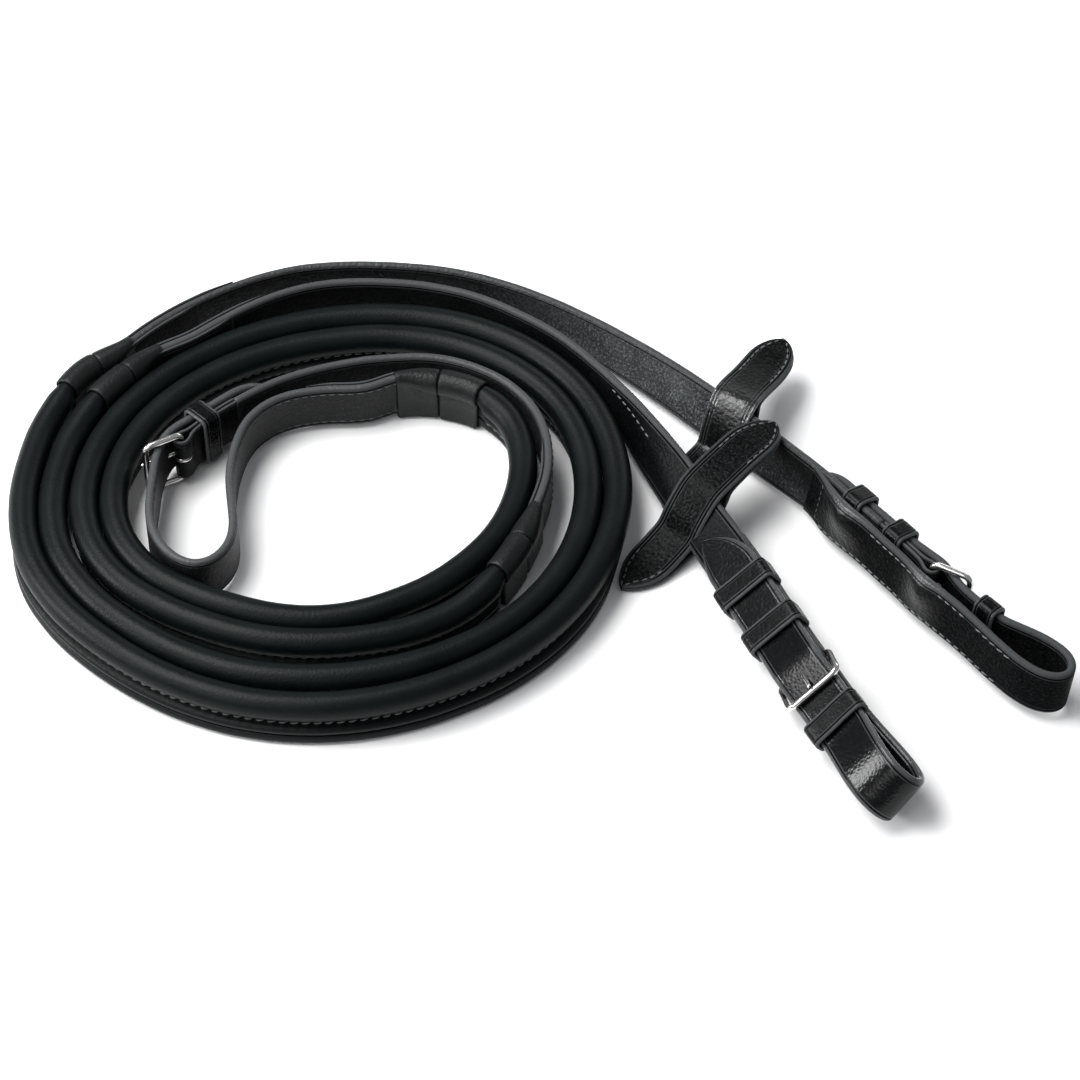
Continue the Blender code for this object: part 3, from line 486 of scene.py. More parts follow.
def swept(name, rings, material, body="reins", marks=None, loop=False):
    """Make a piece from a row of rings, closed by end caps or on itself, facing outward."""
    n, m = rings.shape[:2]
    faces = quads(n, m, closed=loop)
    if not loop:
        faces.append(list(range(m))[::-1])
        faces.append(list(range((n - 1) * m, n * m)))
    middle = rings.mean(axis=1)
    k = n // 2
    a, b, c = rings[k, 0], rings[k, 1], rings[(k + 1) % n, 1]
    normal = np.cross(b - a, c - a)
    if np.dot(normal, a - middle[k]) < 0:
        faces = [f[::-1] for f in faces]
    return mesh_object(name, rings.reshape(-1, 3), faces, material, body, marks)


def wobble(points, scale, seed):
    """Gentle repeatable unevenness from -1 to 1 at points in mm."""
    shift = Vector((seed * 13.7, seed * 7.3, seed * 3.1))
    return np.array([noise.noise(Vector(p) / scale + shift) for p in points])


def quarter(lines, half_t, radius, depth):
    """Quarter of a strap section from mid edge to mid face.

    Each row is inset from the edge, height, share of burnished edge colour (partly a painted highlight) and
    share of pressed line, darkened as painted shade.
    """
    rows = []
    for i in range(7):
        turn = math.pi / 2 * i / 6
        rows.append((radius * (1 - math.cos(turn)), half_t - radius + radius * math.sin(turn) if i else 0.0,
                     1.0 - 0.5 * (i / 6) ** 2, 0.0))
    groove = ((-0.42, 0.03, SHOULDER_HIGHLIGHT, 0.0), (-0.16, -depth * 0.75, 0.0, 0.8), (0.0, -depth, 0.0, 1.0),
              (0.16, -depth * 0.75, 0.0, 0.8), (0.42, 0.03, SHOULDER_HIGHLIGHT, 0.0))
    for line in lines:
        rows += [(line + x, half_t + y, shoulder_highlight, pressed) for x, y, shoulder_highlight, pressed in groove]
    last = rows[-1][0]
    for share in (0.05, 0.25, 0.5, 0.8):
        rows.append((last + (STRAP_HALF - last) * share, half_t + 0.05, 0.0, 0.0))
    return np.array(rows)


def all_round(column, signs=(1, 1, 1, 1)):
    """Column of a quarter section carried round all four quarters."""
    parts = (column, column[::-1], column[1:], column[:0:-1])
    return np.concatenate([part * sign for part, sign in zip(parts, signs)])


def section_marks(rows, count):
    """Edge marks (burnish, partly a painted highlight) and line marks (painted shade) of a quarter section
    for a count of rings.
    """
    return {key: np.tile(all_round(rows[:, k]), (count, 1)) for key, k in (("edge", 2), ("line", 3))}


def ribbon(name, centres, widths, half_w, half_t, material, lines=(1.5,), depth=0.16,
           body="reins", radius=None, uneven=0.05, bumps=(), shade=None):
    """Flat strap through a row of centres, with rounded edges and pressed edge lines.

    A bump is its distance along, height across, spread and rise. Shade names a mark and gives its
    level along the strap, its slope across the width and what the outer face adds.
    """
    n = len(centres)
    half_w = np.broadcast_to(half_w, n).astype(float)
    half_t = np.broadcast_to(half_t, n).astype(float)
    top = float(half_t.max())
    rows = quarter(lines, top, radius or top * 0.9, depth)
    t = unit(np.gradient(centres, axis=0))
    w = unit(widths - t * np.sum(widths * t, axis=1)[:, None])
    d = np.cross(t, w)
    reach = rows[:, 0].max()
    squeeze = np.minimum(1.0, half_w * 0.93 / reach)
    inset = rows[None, :, 0] * squeeze[:, None]
    u = half_w[:, None] - inset
    h = rows[None, :, 1] * (half_t / top)[:, None]
    rings_u = np.hstack([u, -u[:, ::-1], -u[:, 1:], u[:, :0:-1]])
    rings_h = np.hstack([h, h[:, ::-1], -h[:, 1:], -h[:, :0:-1]])
    run = travelled(centres)[:, None]
    for at, across, spread, height in bumps:
        rise = height * np.exp(-((run - at) ** 2 + (rings_u - across) ** 2) / spread ** 2)
        rings_h = rings_h + np.where(rings_h > 0.3, rise, 0.0)
    lift = wobble(centres, 9.0, 1)[:, None] * uneven
    rings = (centres[:, None] + w[:, None] * (rings_u * (1 + lift * 0.15))[..., None]
             + d[:, None] * (rings_h + lift)[..., None])
    marks = section_marks(rows, n)
    for key, (level, slope, outside) in (shade or {}).items():
        marks[key] = np.clip(level[:, None] + slope * rings_u + outside * (rings_h > 0), 0, 1)
    return swept(name, rings, material, body, marks)


def capsule(count_along, count_round):
    """Unit stitch along x from -1 to 1, radius 1."""
    rows = []
    for i in range(count_along):
        x = -math.cos(math.pi * (i + 0.5) / count_along)
        r = math.sqrt(max(0.0, 1 - abs(x) ** 3.5))
        for j in range(count_round):
            a = 2 * math.pi * j / count_round
            rows.append((x, r * math.cos(a), r * math.sin(a)))
    return np.array(rows)


STITCH_RINGS = 6
STITCH_SIDES = 6
STITCH = capsule(STITCH_RINGS, STITCH_SIDES)


def stitches(name, centres, along, out, length, radius, body="reins", *, arch, thread=THREAD):
    """Row of thread stitches lying on a surface, ends pulled down into it."""
    across = np.cross(out, along)
    x = STITCH[:, 0] * length / 2
    y = STITCH[:, 1] * radius
    z = STITCH[:, 2] * radius * 0.85 - arch * STITCH[:, 0] ** 2
    points = (centres[:, None] + along[:, None] * x[None, :, None] + across[:, None] * y[None, :, None]
              + out[:, None] * z[None, :, None])
    m = len(STITCH)
    faces = []
    for k in range(len(centres)):
        faces += quads(STITCH_RINGS, STITCH_SIDES, k * m)
        faces.append([k * m + j for j in range(STITCH_SIDES)][::-1])
        faces.append([k * m + m - STITCH_SIDES + j for j in range(STITCH_SIDES)])
    return mesh_object(name, points.reshape(-1, 3), [f[::-1] for f in faces], thread,
                       body)


def stitch_row(name, route, span, heights, side, thread):
    """Straight row of stitches on one face of a strap."""
    s = np.arange(*span, 2.9)
    t, v = route.axes(s)[::2]
    u = np.interp(s, span, heights)
    stitches(name, route.at(s, u, side * (STRAP_HALF_THICK + 0.1)), t, v * side, 2.1, 0.24, arch=0.12,
             thread=thread)


def tapered(distance):
    """Share of full width at a distance back from the point of an arched strap end."""
    distance = np.clip(distance, 0, OGIVE)
    arc = (OGIVE ** 2 + STRAP_HALF ** 2) / (2 * STRAP_HALF)
    half = np.sqrt(arc ** 2 - (OGIVE - distance) ** 2) - arc + STRAP_HALF
    return np.maximum(0.04, half / STRAP_HALF)


# ---- Rolled grips

def grip_section():
    """Half outline of roll and fin: height, side offset, side offset lost in a stitch hollow, share of
    burnished edge colour (partly a painted highlight) and share of painted shade in grooves, stitch hollows
    and the roll's neck.
    """
    rows = [(-7.2, 0.0, 0, 0, 1), (-7.75, 0.2, 0, 0, 0.7), (-8.0, 0.6, 0, 0.6, 0), (-7.9, 1.2, 0, 1, 0),
            (-7.5, 1.6, 0, 1, 0), (-6.8, 1.75, 0, 0.3, 0), (-5.9, 1.72, 0, 0.2, 0), (-5.45, 1.5, 0, 0.5, 0),
            (-5.2, 1.15, 0, 0, 0.8), (-5.0, 0.95, 0, 0, 1), (-4.8, 1.15, 0, 0, 0.8),
            (-4.55, 1.6, 0, 0.8, 0), (-4.1, 1.9, 0, 0.9, 0), (-3.3, 1.95, 0.04, 0.3, 0),
            (-2.6, 1.8, 0.1, 0.1, 0), (-2.1, 1.6, 0.25, 0, 0.2), (-1.7, 1.38, 0.45, 0, 0.7),
            (-1.3, 1.22, 0.5, 0, 1), (-0.9, 1.2, 0.5, 0, 1), (-0.5, 1.35, 0.45, 0, 1)]
    middle = 8.1 - ROLL_RADIUS
    for i in range(18):
        turn = math.radians(-68 + 158 * i / 17)
        pull = max(0.0, 0.42 - 0.12 * i)
        # Painted shade where the roll's underside meets the fin
        shade = max(0.0, 0.75 - 0.3 * i)
        rows.append((middle + ROLL_RADIUS * math.sin(turn), max(0.0, ROLL_RADIUS * math.cos(turn)), pull, 0,
                     shade))
    return np.array(rows)


def grip(tag, route, start, end, mouths):
    """Rolled part of a rein: round roll, thinner in the wraps, above a sewn two-band fin."""
    half = grip_section()
    step = STITCH_PITCH / 4
    s = np.arange(start, end, step)
    near = np.minimum(s - mouths[0], mouths[1] - s)
    share = np.clip(near / 5.0 + 0.05, 0, 1)
    share = ease(share)
    p = route.at(s)
    radius = NECK_RADIUS + (ROLL_RADIUS - NECK_RADIUS) * share + 0.05 * wobble(p, 16.0, 2) * share
    pull = 0.5 - 0.5 * np.cos(2 * math.pi * (s / STITCH_PITCH))
    u = np.repeat(half[None, :, 0], len(s), 0)
    d = half[None, :, 1] - half[None, :, 2] * pull[:, None] * share[:, None]
    roll = half[:, 0] > -0.4
    scale = (radius / ROLL_RADIUS)[:, None]
    u[:, roll] = 8.1 - (8.1 - u[:, roll]) * scale
    d[:, roll] = d[:, roll] * scale
    u[:, ~roll] = -8.0 + (u[:, ~roll] + 8.0) * (1 + (ROLL_RADIUS - radius)[:, None] * 2 / 8.0)
    fin = wobble(p, 11.0, 5)[:, None] * 0.12
    d = np.where(~roll & (d > 1.3), 1.3 + (d - 1.3) * share[:, None], d)
    flange = np.clip((-1.7 - u) / 1.4, 0, 1) * np.minimum(1.0, d) * share[:, None]
    if tag == "a":
        beside_stop = route.near(*BESIDE_STOP)
        flange = flange * (1 - 0.7 * np.exp(-((s - beside_stop) / 12.0) ** 2))[:, None]
    mirror = slice(-2, 0, -1)
    ring_u = np.hstack([u, u[:, mirror]])
    ring_d = np.hstack([d + FLANGE * flange, -d[:, mirror]]) + fin * np.hstack([u < 0, u[:, mirror] < 0])
    t, w, v = route.axes(s)
    rings = p[:, None] + w[:, None] * ring_u[..., None] + v[:, None] * ring_d[..., None]
    rings[..., 2] = np.maximum(rings[..., 2], 0.05)
    # Edge marks lighten burnished edges partly as a painted highlight; line marks darken grooves, stitch
    # hollows and the roll's neck as painted shade
    marks = {key: np.tile(np.concatenate([half[:, k], half[mirror, k]]), (len(s), 1))
             for key, k in (("edge", 3), ("line", 4))}
    obj = swept("rolled_grip_" + tag, rings, GRIP, marks=marks)
    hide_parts("grip_" + tag, "core_" + tag)
    path = (route.at(s[::4]) * MM).tolist() + [(route.at(s[-1])[0] * MM).tolist()]
    first = math.ceil((mouths[0] + 2) / STITCH_PITCH)
    places = np.arange(first, (mouths[1] - 2) / STITCH_PITCH) * STITCH_PITCH
    for side, word, u, d in ((1, "outer", -1.3, 1.42), (-1, "inner", -1.3, 1.42),
                             (-1, "lower", -3.9, 1.92)):
        t, w, v = route.axes(places)
        along = unit(t + w * 0.2 * side)
        out = v * side
        stitches("grip_%s_stitches_%s" % (tag, word), route.at(places, u, side * d), along, out,
                 2.5, 0.34, arch=0.3)


def fin_outline(radius, half, centre, bottom):
    """Outline of a wrap round roll and fin, as height and side offset rows."""
    r = min(0.5, half * 0.5)
    flank = []
    for i in range(5):
        a = math.pi / 2 * i / 4
        flank.append((bottom + r - r * math.cos(a), half - r + r * math.sin(a)))
    flank.append((bottom + (centre - bottom) * 0.35, half))
    gap = math.asin(min(0.98, half / radius))
    crown = []
    for i in range(OUTLINE_TURNS + 1):
        turn = -math.pi / 2 + gap + (2 * math.pi - 2 * gap) * i / OUTLINE_TURNS
        crown.append((centre + radius * math.sin(turn), radius * math.cos(turn)))
    return np.array(flank + crown + [(height, -offset) for height, offset in flank[::-1]])


def sleeve(name, node_name, route, strap_end, roll_end, seed):
    """Two-band leather wrap over the change from flat strap to roll, open at both ends."""
    x = np.concatenate([(0, 0.004, 0.012, 0.03), np.linspace(0.06, 0.44, 16), (0.465, 0.48, 0.488),
                        (0.494, 0.5, 0.506), (0.512, 0.52, 0.535), np.linspace(0.56, 0.94, 16),
                        (0.97, 0.985, 0.994, 1.0)])
    s = strap_end + (roll_end - strap_end) * x
    w, v = route.axes(s)[1:]
    p = route.at(s)
    outer = []
    marks = []
    for i, share in enumerate(x):
        grow = ease(min(1.0, share / 0.4))
        radius = FIN_HALF + (NECK_RADIUS - FIN_HALF) * grow
        centre = STRAP_HALF + 0.1 * grow - radius
        first = share < 0.5
        local = share / 0.494 if first else (share - 0.506) / 0.494
        lip = max(0.0, 1 - abs(2 * local - 1) ** 34) if 0 <= local <= 1 else 0.0
        off = 0.45 + lip * (0.5 if first else 0.72)
        line = fin_outline(radius + off, FIN_HALF + off, centre, -STRAP_HALF - off)
        turn = np.arctan2(line[:, 0] - centre, line[:, 1])
        gather = (np.sin(turn * 9 + seed + share * 5) * 0.03 + np.sin(turn * 17 + share * 31) * 0.02) * lip
        edge = math.exp(-((local - 0.93) / 0.03) ** 2) + math.exp(-((local - 0.07) / 0.03) ** 2)
        line = line * (1 + (gather - 0.02 * edge) / 8)[:, None]
        outer.append(p[i] + w[i] * line[:, :1] + v[i] * line[:, 1:])
        # Painted shade: the band ends and the join between the bands are marked dark
        marks.append(np.full(len(line), 1.0 if lip < 0.3 else 0.0))
    outer = np.array(outer)
    inner = []
    for k in range(len(x) - 1, -1, -5):
        grow = min(1.0, x[k] / 0.4)
        radius = FIN_HALF + (NECK_RADIUS - FIN_HALF) * grow
        centre = STRAP_HALF + 0.1 * grow - radius
        line = fin_outline(radius + 0.2, FIN_HALF + 0.2, centre, -STRAP_HALF - 0.2)
        inner.append(p[k] + w[k] * line[:, :1] + v[k] * line[:, 1:])
    rings = np.concatenate([outer, np.array(inner)])
    # Painted shade: the whole inside of the wrap is marked dark
    marks = np.concatenate([np.array(marks), np.ones((len(inner), len(line)))])
    obj = swept(name, rings, SLEEVE, marks={"line": marks}, loop=True)
    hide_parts(node_name)


# ---- Straps and bit ends

# Distance along rein A and how much darker its face is painted there: painted shade where it stands on edge
# toward the coil, darker still toward the billet
DARKENING_ALONG_A = ((102.0, 128.0, 150.0, 165.0, 195.0, 215.0, 240.0), (1.0, 0.5, 0.3, 0.1, 0.1, 0.4, 0.65))


def to_tip(start, end, step):
    """Distances from start to a pointed end, closer together over the point."""
    return np.concatenate([np.arange(start, end - OGIVE, step), end - OGIVE * np.linspace(1, 0, 26) ** 1.6])


def strap(name, node_name, route, s0, s1, material, tip=False):
    """Length of flat strap along a rein, square or pointed at its far end."""
    s = to_tip(s0, s1, 1.2) if tip else np.append(np.arange(s0, s1, 1.2), s1)
    half = STRAP_HALF * tapered(s1 - s) if tip else STRAP_HALF
    # On rein A a mark darkens the face along its length as painted shade, paints it darker toward the top
    # edge and lighter toward the lower edge as painted shade and highlight, and keeps the outer face dark
    obj = ribbon(name, route.at(s), route.axes(s)[1], half, STRAP_HALF_THICK, material,
                 shade={"tone_and_shade": (np.interp(s, *DARKENING_ALONG_A), 0.06, 0.8)})
    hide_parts(node_name)
    path = (route.at(np.append(np.arange(s0, s1, 4.0), s1)) * MM).tolist()


def doubling(name, route, s_wrap, s_end, side):
    """Thin inner ply coming out of a wrap and skived away on the strap's face."""
    s = np.linspace(s_wrap, s_end, 34)
    x = np.linspace(0, 1, 34)
    share = np.clip((1 - x) / 0.22, 0.08, 1) ** 0.8
    v = side * (STRAP_HALF_THICK + 0.06 + 0.43 * share)
    ribbon(name, route.at(s, 0, v), route.axes(s)[1], STRAP_HALF - 0.15, 0.41 * share, STRAP,
           lines=(1.3,), depth=0.1, radius=0.37, uneven=0.03)


def rounded_path(half_x, half_y, radius, turns):
    """Closed outline of a rounded rectangle with its outward normals."""
    signs = ((1, 1), (-1, 1), (-1, -1), (1, -1))
    pairs = []
    for corner, (side_x, side_y) in enumerate(signs):
        cx = (half_x - radius) * side_x
        cy = (half_y - radius) * side_y
        for i in range(turns + 1):
            turn = math.pi / 2 * (corner + i / turns)
            pairs.append((cx + radius * math.cos(turn), cy + radius * math.sin(turn),
                          math.cos(turn), math.sin(turn)))
        nx, ny = math.cos(math.pi / 2 * (corner + 1)), math.sin(math.pi / 2 * (corner + 1))
        px, py = pairs[-1][:2]
        side_x, side_y = signs[(corner + 1) % 4]
        qx = (half_x - radius) * side_x + radius * nx
        qy = (half_y - radius) * side_y + radius * ny
        for k in range(1, 6):
            pairs.append((px + (qx - px) * k / 6, py + (qy - py) * k / 6, nx, ny))
    return np.array(pairs)


def keeper(name, route, s, low, high, width, seed):
    """Leather loop round the layers between two offsets, with two pressed lines."""
    t, w, v = (a[0] for a in route.axes(s))
    middle = route.at(s, 0, (low + high) / 2)[0]
    path = rounded_path(STRAP_HALF + 0.32 + KEEPER_THICK / 2, (high - low) / 2 + KEEPER_THICK / 2 + 0.02,
                        1.6, 6)
    rows = quarter((1.1,), KEEPER_THICK / 2, KEEPER_THICK * 0.42, 0.12)
    inset = np.where(rows[:, 0] > 1.6, 1.6 + (rows[:, 0] - 1.6) * (width / 2 - 1.6) / (STRAP_HALF - 1.6),
                     rows[:, 0])
    a = width / 2 - inset
    b = rows[:, 1]
    sec_a = all_round(a, (1, -1, -1, 1))
    sec_b = all_round(b, (1, 1, -1, -1))
    rings = []
    for x, y, nx, ny in path:
        place = middle + w * x + v * y
        out = w * nx + v * ny
        sway = 0.12 * noise.noise(Vector((x * 0.2, y * 0.2, seed * 5.3)))
        rings.append(place + t * (sec_a * (1 + 0.02 * sway) + sway)[:, None]
                     + out * (sec_b + sway * 0.5)[:, None])
    rings = np.array(rings)
    obj = swept(name + "_loop", rings, KEEPER, marks=section_marks(rows, len(path)),
                loop=True)
    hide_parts(name)


def wire(name, node_name, points, radii, loop, body, up):
    """Round wire through a row of points."""
    points = np.array(points, float)
    t = unit(np.roll(points, -1, 0) - np.roll(points, 1, 0)) if loop else unit(np.gradient(points, axis=0))
    across = unit(np.cross(np.broadcast_to(up, t.shape), t))
    out = np.cross(t, across)
    a = np.arange(WIRE_SIDES) * 2 * math.pi / WIRE_SIDES
    r = np.broadcast_to(radii, len(points))[:, None, None]
    rings = points[:, None] + r * (across[:, None] * np.cos(a)[None, :, None]
                                   + out[:, None] * np.sin(a)[None, :, None])
    obj = swept(name, rings, NICKEL, body, loop=loop)
    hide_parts(node_name)


def buckle(tag, heel, end, width, front):
    """Wire frame about its heel bar and a tongue curled round it, on their own bodies."""
    x = unit(end - heel)
    y = unit(width - x * np.dot(width, x))
    z = np.cross(x, y)
    if np.dot(z, front) < 0:
        y, z = -y, -z
    reach = np.linalg.norm(end - heel)
    path = rounded_path(reach / 2, BUCKLE_HALF, BUCKLE_CORNER, 8)
    points = [heel + x * (a + reach / 2) + y * b for a, b, nx, ny in path]
    wire("buckle_%s_wire" % tag, "buckle_%s_frame" % tag, points, WIRE_RADIUS, True, "frame_" + tag, z)
    curl = []
    for i in range(25):
        turn = math.radians(-205 + 295 * i / 24)
        curl.append(heel + x * TONGUE_BEND * math.cos(turn) + z * TONGUE_BEND * math.sin(turn))
    for k in np.linspace(0.1, 1.0, 16):
        curl.append(heel + x * (reach + 1.1) * k + z * (TONGUE_BEND + 0.05 * math.sin(math.pi * k)))
    radii = np.concatenate([np.full(31, TONGUE_RADIUS), np.linspace(TONGUE_RADIUS, TONGUE_TIP_RADIUS, 10)])
    wire("buckle_%s_prong" % tag, "buckle_%s_tongue" % tag, curl, radii, False, "tongue_" + tag, y)


def offset_path(route, s, v):
    """Centres beside the strap and their width directions, for rows of distance and offset."""
    return np.vstack([route.at(a, 0, b) for a, b in zip(s, v)]), \
        np.vstack([route.axes(a)[1] for a in s])


def chape(tag, route, heel_s, side):
    """Thin fold of leather round the heel bar."""
    path = smooth(CHAPE_PATH, 0.6)
    t, w, v = (a[0] for a in route.axes(heel_s))
    centres = []
    for ds, dv in path:
        s = heel_s + side * ds
        if ds > 2.5 and 0 <= s <= route.s[-1]:
            centres.append(route.at(s, 0, dv)[0])
        else:
            centres.append(route.at(heel_s)[0] + t * side * ds + v * dv)
    centres = np.array(centres)
    widths = np.repeat(w[None], len(centres), 0)
    obj = ribbon("chape_%s_fold" % tag, centres, widths, STRAP_HALF - 0.05, CHAPE_HALF_THICK, STRAP,
                 lines=(1.4,), depth=0.08, radius=0.4, uneven=0.0)
    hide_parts("chape_" + tag)


def bit_end(tag, route, front):
    """Billet folded back on the strap and sewn down, with its buckle, chape and keepers."""
    path = smooth(BILLET_PATH, 1.0)
    skive = np.interp(path[:, 0], SKIVED, (0, 1)) * (path[:, 1] < 0)
    centres, widths = offset_path(route, path[:, 0], (path[:, 1] + 0.92 * skive) * front)
    run = travelled(centres)
    fine = to_tip(0, run[-1], 1.0)
    centres = soften(resample(fine, run, centres), 1.2)
    widths = resample(fine, run, widths)
    half = STRAP_HALF * tapered(run[-1] - fine)
    if front < 0:
        centres = centres - unit(widths) * 2.6 * (np.clip(1 - (run[-1] - fine) / 15, 0, 1) ** 1.6)[:, None]
    thick = BILLET_HALF_THICK * np.minimum(1.0, 0.12 + fine / 12)
    dome = np.exp(-((fine - 19.0) / 6.0) ** 2) + np.exp(-((fine - 55.0) / 5.0) ** 2)
    bumps = ((18.5, 3.0, 4.6, 1.9), (25.5, 0.5, 4.6, 0.7), (55.0, 2.8, 4.4, 1.8)) if front > 0 else ()
    obj = ribbon("billet_%s_strap" % tag, centres, widths, half, thick, BACK if front > 0 else BILLET,
                 depth=0.17, bumps=bumps, shade={"polish": (dome, 0.0, 0.0)})
    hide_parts("billet_" + tag)
    chape(tag, route, HEEL_BAR, 1.0)
    under = path[::-1][path[::-1, 1] < 0]
    for word, s0, s1, u in (("far", 57.0, 77.0, 6.1), ("middle", 35.5, 48.0, 6.1),
                            ("near", 17.0, 31.0, 6.1), ("foot", 20.0, 98.0, -6.3)):
        s = np.arange(s0, s1, 2.9)
        depth = np.interp(s, under[:, 0], under[:, 1]) - 1.36
        t, w, v = route.axes(s)
        stitches("billet_%s_%s_stitches" % (tag, word), route.at(s, u, depth * front), t, -v * front,
                 2.1, 0.24, arch=0.08, thread=PALE_THREAD)
    u = np.arange(-5.6, 5.7, 2.2)
    s = np.full(len(u), 99.5)
    t, w, v = route.axes(s)
    stitches("billet_%s_cross_stitches" % tag, route.at(s, u, -3.65 * front), w, -v * front,
             1.6, 0.24, arch=0.12)
    t, w, v = (a[0] for a in route.axes(HEEL_BAR))
    buckle(tag, route.at(HEEL_BAR)[0], route.at(END_BAR, 0, 5.6 * front)[0], w, v * front)
    for number, s, low, high in ((1, 32.0, 1.3, 5.1), (2, 70.0, -1.6, 4.8), (3, 88.0, -1.6, 4.8)):
        pair = sorted((low * front, high * front))
        keeper("keeper_%s%d" % (tag, number), route, s, pair[0], pair[1], KEEPER_WIDTH, number + front)


# ---- Rein stops

def blunt(distance, roundness):
    """Share of full width at a distance back from the tip of a stop, rounder than a strap's."""
    rounded = np.sqrt(1 - (1 - np.clip(distance / 10.5, 0, 1)) ** 2)
    return np.maximum(0.04, (1 - roundness) * tapered(distance) + roundness * rounded)


def rein_stop(tag, route, s, reaches, skews, rise, gloss):
    """Two plies sewn together at both pointed ends, the strap passing between them.

    Reaches, skews in degrees and rise are for the high and low ends; gloss is the over ply's shine.
    """
    t, w = (a[0] for a in route.axes(s)[:2])
    side = unit(np.cross(t, (0, 0, 1)))
    up = np.array((0.0, 0.0, 1.0))
    along = np.cross(up, side)
    origin = route.at(s)[0]
    lean = math.atan2(np.dot(w, side), w[2])
    wu = np.array((math.sin(lean), math.cos(lean)))
    vu = np.array((math.cos(lean), -math.sin(lean)))
    low = -origin[2] + 0.4

    def spot(a, b):
        return tuple(wu * a + vu * b)

    under = [(-44.0, low + 0.6), (-30.0, low + 0.6), (-21.0, low + 0.7), spot(-HOLE_W - 0.8, 1.9),
             spot(-HOLE_W + 2.4, HOLE_V + 1.0), spot(0.0, HOLE_V + 0.7), spot(HOLE_W - 1.4, HOLE_V + 0.6),
             spot(HOLE_W + 0.9, HOLE_V * 0.5), (22.0, rise - 0.9), (32.0, rise - 1.6), (46.0, rise - 2.5)]
    over = [(-44.0, low + 1.8), (-30.0, low + 1.8), (-21.0, low + 2.0), spot(-HOLE_W + 0.4, -HOLE_V - 0.3),
            spot(-HOLE_W + 3.4, -HOLE_V - 1.2), spot(0.0, -HOLE_V - 1.5), spot(HOLE_W - 2.2, -HOLE_V - 1.1),
            spot(HOLE_W + 1.6, -1.1), (22.0, rise + 0.3), (32.0, rise - 0.4), (46.0, rise - 1.3)]
    pieces = []
    for word, points, shrink in (("under", under, 0.0), ("over", over, OVER_PLY_INSET)):
        path = soften(smooth(points, 0.4), 4)
        path[:, 1] = np.maximum(path[:, 1], low + 0.6)
        x = np.concatenate([-(reaches[1] - shrink) + 12 * np.linspace(0, 1, 24) ** 1.7,
                            np.linspace(-(reaches[1] - shrink) + 12.7, reaches[0] - shrink - 12.7, 54),
                            (reaches[0] - shrink) - 12 * np.linspace(1, 0, 24) ** 1.7])
        run = travelled(path)
        order = np.interp(x, path[:, 0], run)
        height = np.interp(order, run, path[:, 1])
        place = np.interp(order, run, path[:, 0])
        blend = ease(np.clip((place + 10) / 20, 0, 1))
        turn = np.radians(skews[1] + (skews[0] - skews[1]) * blend)
        centres = (origin + side * (place * np.cos(turn))[:, None] + along * (place * np.sin(turn))[:, None]
                   + up * height[:, None])
        widths = along * np.cos(turn)[:, None] - side * np.sin(turn)[:, None]
        back = np.minimum(x + reaches[1] - shrink, reaches[0] - shrink - x)
        half = (STOP_HALF_WIDTH - shrink * 0.5) * blunt(back, np.where(x > 0, 0.6, 0.2))
        polish = gloss * (word == "over") * np.exp(-((x + 1.0) / 6.0) ** 2)
        piece = ribbon("stop_%s_%s_ply" % (tag, word), centres, widths, half, STOP_PLY_HALF, STOP,
                       lines=(1.3, 2.3), depth=0.16, body="stop_" + tag, uneven=0.1,
                       shade={"polish": (polish, 0.0, 0.0)})
        pieces.append((x, centres, widths, half))
        if word == "under":
            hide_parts("stop_" + tag)
    x, centres, widths, half = pieces[1]
    t2 = unit(np.gradient(centres, axis=0))
    normal = np.cross(t2, widths)
    normal *= np.sign(normal[:, 2:])
    for word, pick in (("low", x < -17.5), ("high", x > 16.5)):
        rows = []
        for sign in (1, -1):
            inset = np.minimum(2.0, half * 0.5)
            line = centres + widths * ((half - inset) * sign)[:, None] + normal * 0.62
            rows.append(line[pick][::sign])
        line = np.vstack(rows) if word == "high" else np.vstack([rows[0][::-1], rows[1][::-1]])
        gaps = travelled(line)
        places = np.arange(1.2, gaps[-1] - 1.0, 2.7)
        centre = resample(places, gaps, line)
        ahead = resample(places + 0.4, gaps, line)
        side_n = resample(centre @ side, centres @ side, normal)
        stitches("stop_%s_%s_stitches" % (tag, word), centre, unit(ahead - centre + 1e-9), unit(side_n),
                 1.9, 0.24, "stop_" + tag, arch=0.1, thread=PALE_THREAD)


# ---- The set

COILS = {"a": polar(COIL_A), "b": polar(COIL_B)}
REINS = {"a": Route(BIT_A + COILS["a"] + HAND_A), "b": Route(BIT_B + COILS["b"] + HAND_B)}
